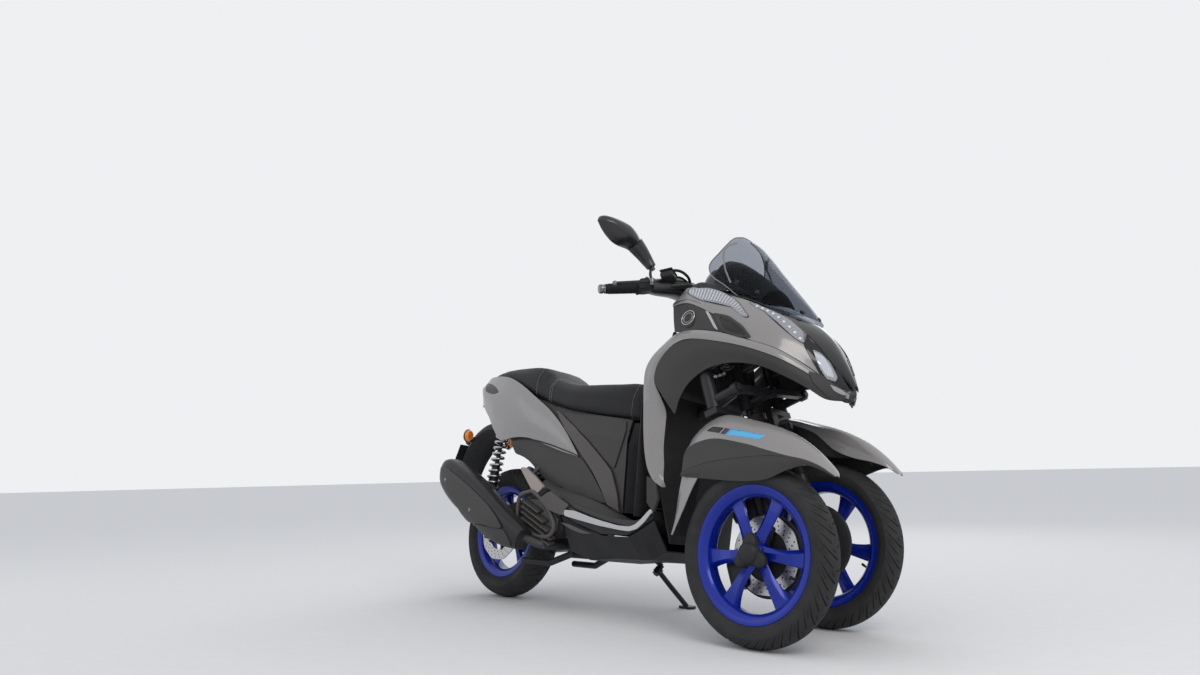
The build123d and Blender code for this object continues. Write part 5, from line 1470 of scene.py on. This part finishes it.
lamp_ribs.build("tail_lamp_ribs", GLOSS)
rear_guard_rows = (  # x, top, half width
    (-1380, 690, 92), (-1440, 700, 88), (-1500, 700, 84), (-1600, 660, 74), (-1668, 590, 66), (-1712, 500, 60))
guard_lines = [
    [(x, -h, t - 30), (x, -h + 6, t - 8), (x, -h * 0.5, t + 3), (x, 0, t + 6), (x, h * 0.5, t + 3), (x, h - 6, t - 8),
     (x, h, t - 30)] for x, t, h in rear_guard_rows]
rear_guard = sheets("rear_guard_shell", [sheet_grid(guard_lines, 60, 30)], BLACK, thickness=4, toward=(0.4, 0, -1))
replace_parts(rear_guard, "rear_mudguard")
for label, x, z, size, finish, edge in (
        ("plate_blank", -1716, 560, (3, 150, 110), PLATE, 2), ("plate_backing", -1710, 562, (5, 160, 122), BLACK, 4),
        ("plate_lamp", -1704, 632, (26, 70, 16), BLACK, 5), ("reflector_tab", -1742, 494, (5, 54, 56), BLACK, 2)):
    box_piece(label, (x, 0, z), size, finish, turn=(0, 24, 0), edge=edge)
reflector = Heap()
reflector.lathe((-1746, 0, 492), (-0.91, 0, 0.41), ((-2, 21), (3, 21), (5, 19), (5.6, 3)), 32)
reflector.build("rear_reflector", RED)

# Stitching and piping of the seat
def seat_line(start, bend, low_share):
    """Line over the seat from side to side: x at the middle, and how far it bends by the edge."""
    line = []
    rows, columns = dense.shape[:2]
    for j in range(columns):
        if min(j, columns - j) / (columns / 2) < low_share:
            continue
        column = dense[:, j]
        want = start + bend * (abs(float(column[rows // 2][1])) / 140) ** 2
        i = int(np.clip(np.searchsorted(-column[:, 0], -want), 1, rows - 2))
        a, b = column[i - 1], column[i]
        t = (want - a[0]) / (b[0] - a[0]) if abs(b[0] - a[0]) > 1e-6 else 0
        p = a + (b - a) * min(max(t, 0), 1)
        beside = dense[i, (j + 1) % columns] - dense[i, (j - 1) % columns]
        normal = np.cross(dense[i + 1, j] - dense[i - 1, j], beside)
        normal /= np.linalg.norm(normal)
        if normal[2] < -0.2 or np.dot(normal, (0, p[1], 30)) < 0:
            normal = -normal
        line.append(p + normal * 0.5)
    return curve_points(line, 900)


threads = Heap()
for start, bend, low_share in ((-596, -4, 0.22), (-1040, 30, 0.34), (-1052, 30, 0.34), (-1124, 16, 0.36)):
    line = seat_line(start, bend, low_share)
    far = lengths(line)
    for start in np.arange(2, far[-1] - 5, 5.6):
        part = [np.array([np.interp(start + q, far, line[:, k]) for k in range(3)]) for q in (0, 1.9, 3.8)]
        threads.tube(part, 0.75, 5, 3)
threads.build("seat_stitches", THREAD, "seat")
piping = Heap()
for side in (1, -1):
    j = round(m * 0.17) if side == 1 else m - round(m * 0.17)
    edge_line = [dense[i, j % m] + np.array([0, side * 0.6, 0]) for i in range(4, n - 6, 4)]
    piping.tube(edge_line, 2.4, 8, 150)
piping.build("seat_piping", VINYL, "seat")

# Left side: belt case ribs, bolts, kick cover; engine fins and underside parts
case_bits = Heap()
case_outline = [
    (-872, 300), (-906, 400), (-1010, 428), (-1200, 362), (-1394, 340), (-1428, 256), (-1392, 186), (-1200, 200),
    (-964, 224)]
dense_outline = curve_points([(x, 143, z) for x, z in case_outline + case_outline[:1]], 120)
case_bits.tube(dense_outline, 4.5, 10, 160)
for x, z in case_outline:
    case_bits.bolt((x + (-1130 - x) * 0.045, 142, z + (300 - z) * 0.1), (0, 1, 0), 5.5, 6)
case_bits.lathe((-980, 140, 320), (0, 1, 0), ((0, 74), (4, 72), (6, 62), (3, 58), (3, 44), (7, 40), (8, 20), (7, 2)),
    56)
case_bits.lathe((-1350, 140, 262), (0, 1, 0), ((0, 62), (4, 60), (6, 50), (4, 46), (4, 30), (9, 26), (10, 4)), 56)
for k in range(7):
    x = -1080 - 26 * k
    case_bits.tube([(x, 142.5, 250), (x - 8, 144, 300), (x - 4, 142.5, 352 - 4 * k)], 3.2, 8, 14)
case_bits.build("belt_case_details", CAST)
fins = Heap()
for x in range(-1042, -1042 + 24 * 8, 24):
    fins.tube([(x, -112, 258), (x, -113, 330), (x, -112, 404)], 3.4, 8, 8)
for x, z in ((-1036, 262), (-1036, 398), (-874, 262), (-874, 398), (-955, 252)):
    fins.bolt((x, -110, z), (0, -1, 0), 6, 7)
fins.build("engine_ribs", CAST)
box_piece("air_box", (-1180, 108, 470), (230, 84, 92), BLACK, turn=(0, 12, 0), edge=14, taper=0.92)
ducts = Heap()
ducts.tube([(-1080, 92, 452), (-1020, 70, 436), (-990, 40, 430), (-960, 0, 424)], 20, 20, 30)
for k in range(7):
    t = k / 6
    ducts.lathe(Vector((-1072, 90, 450)).lerp(Vector((-1004, 54, 434)), t), (0.85, -0.5, -0.2),
        ((-2, 21), (0, 23), (2, 21)), 24)
ducts.build("intake_duct", RUBBER)

# Soft edges on the parts that are seen as they are
for name in (
        "frame upper_arm lower_arm right_upright left_upright right_fork left_fork grab_rail floor under_cover "
        "engine_block belt_case rear_arm radiator_cover seat_box_cover side_stand centre_stand luggage_tub "
        "arch_liner exhaust_pipe handlebar").split():
    rounding(nodes[name], 1.6, 2, 35)

# Floor, backdrop and lights
GROUND_HALF = 90
corners = [(x * GROUND_HALF, y * GROUND_HALF, 0) for x, y in ((-1, -1), (1, -1), (1, 1), (-1, 1))]
ground = bpy.data.meshes.new("ground")
ground.from_pydata(corners, [], [(0, 1, 2, 3)])
floor_obj = bpy.data.objects.new("ground", ground)
bpy.context.scene.collection.objects.link(floor_obj)
ground.materials.append(shade("ground", (0.8, 0.8, 0.8), rough=0.95, shine=0.0))

# World: soft light on the pieces, and a plain backdrop for the camera and for reflections
sky = bpy.data.worlds.new("studio")
bpy.context.scene.world = sky
sky.use_nodes = True
tree = sky.node_tree
light = wire(tree, tree.nodes["Background"], {"Color": (0.78, 0.8, 0.84, 1), "Strength": 0.95})
backdrop = add_node(tree, "ShaderNodeBackground", {"Color": (0.86, 0.87, 0.89, 1), "Strength": 1})
rays = tree.nodes.new("ShaderNodeLightPath").outputs
mirrored = add_node(
    tree, "ShaderNodeMath", {0: rays["Is Glossy Ray"], 1: rays["Is Transmission Ray"]}, operation="MAXIMUM")
seen = add_node(tree, "ShaderNodeMath", {0: rays["Is Camera Ray"], 1: mirrored.outputs[0]}, operation="MAXIMUM")
mix = add_node(tree, "ShaderNodeMixShader", {0: seen.outputs[0], 1: light.outputs[0], 2: backdrop.outputs[0]})
wire(tree, tree.nodes["World Output"], {"Surface": mix.outputs[0]})


def lamp(name, place, target, size, power, color=(1, 1, 1)):
    """Area light aimed at a point."""
    data = bpy.data.lights.new(name, "AREA")
    data.shape = "RECTANGLE"
    data.size, data.size_y = size
    data.energy = power
    data.color = color
    obj = bpy.data.objects.new(name, data)
    bpy.context.scene.collection.objects.link(obj)
    obj.location = place
    obj.rotation_euler = (Vector(target) - Vector(place)).to_track_quat("-Z", "Y").to_euler()


lamp("key", (3.6, -1.6, 3.2), (0.1, 0, 0.5), (2.0, 1.6), 50, (1, 0.96, 0.91))
lamp("fill", (-2.6, -3.6, 2.4), (-0.2, 0, 0.5), (3.0, 2.0), 10, (0.93, 0.96, 1))
lamp("rim", (-1.2, 3.4, 2.8), (0, 0, 0.6), (2.4, 1.6), 20)

bpy.context.scene.view_settings.view_transform = "Standard"
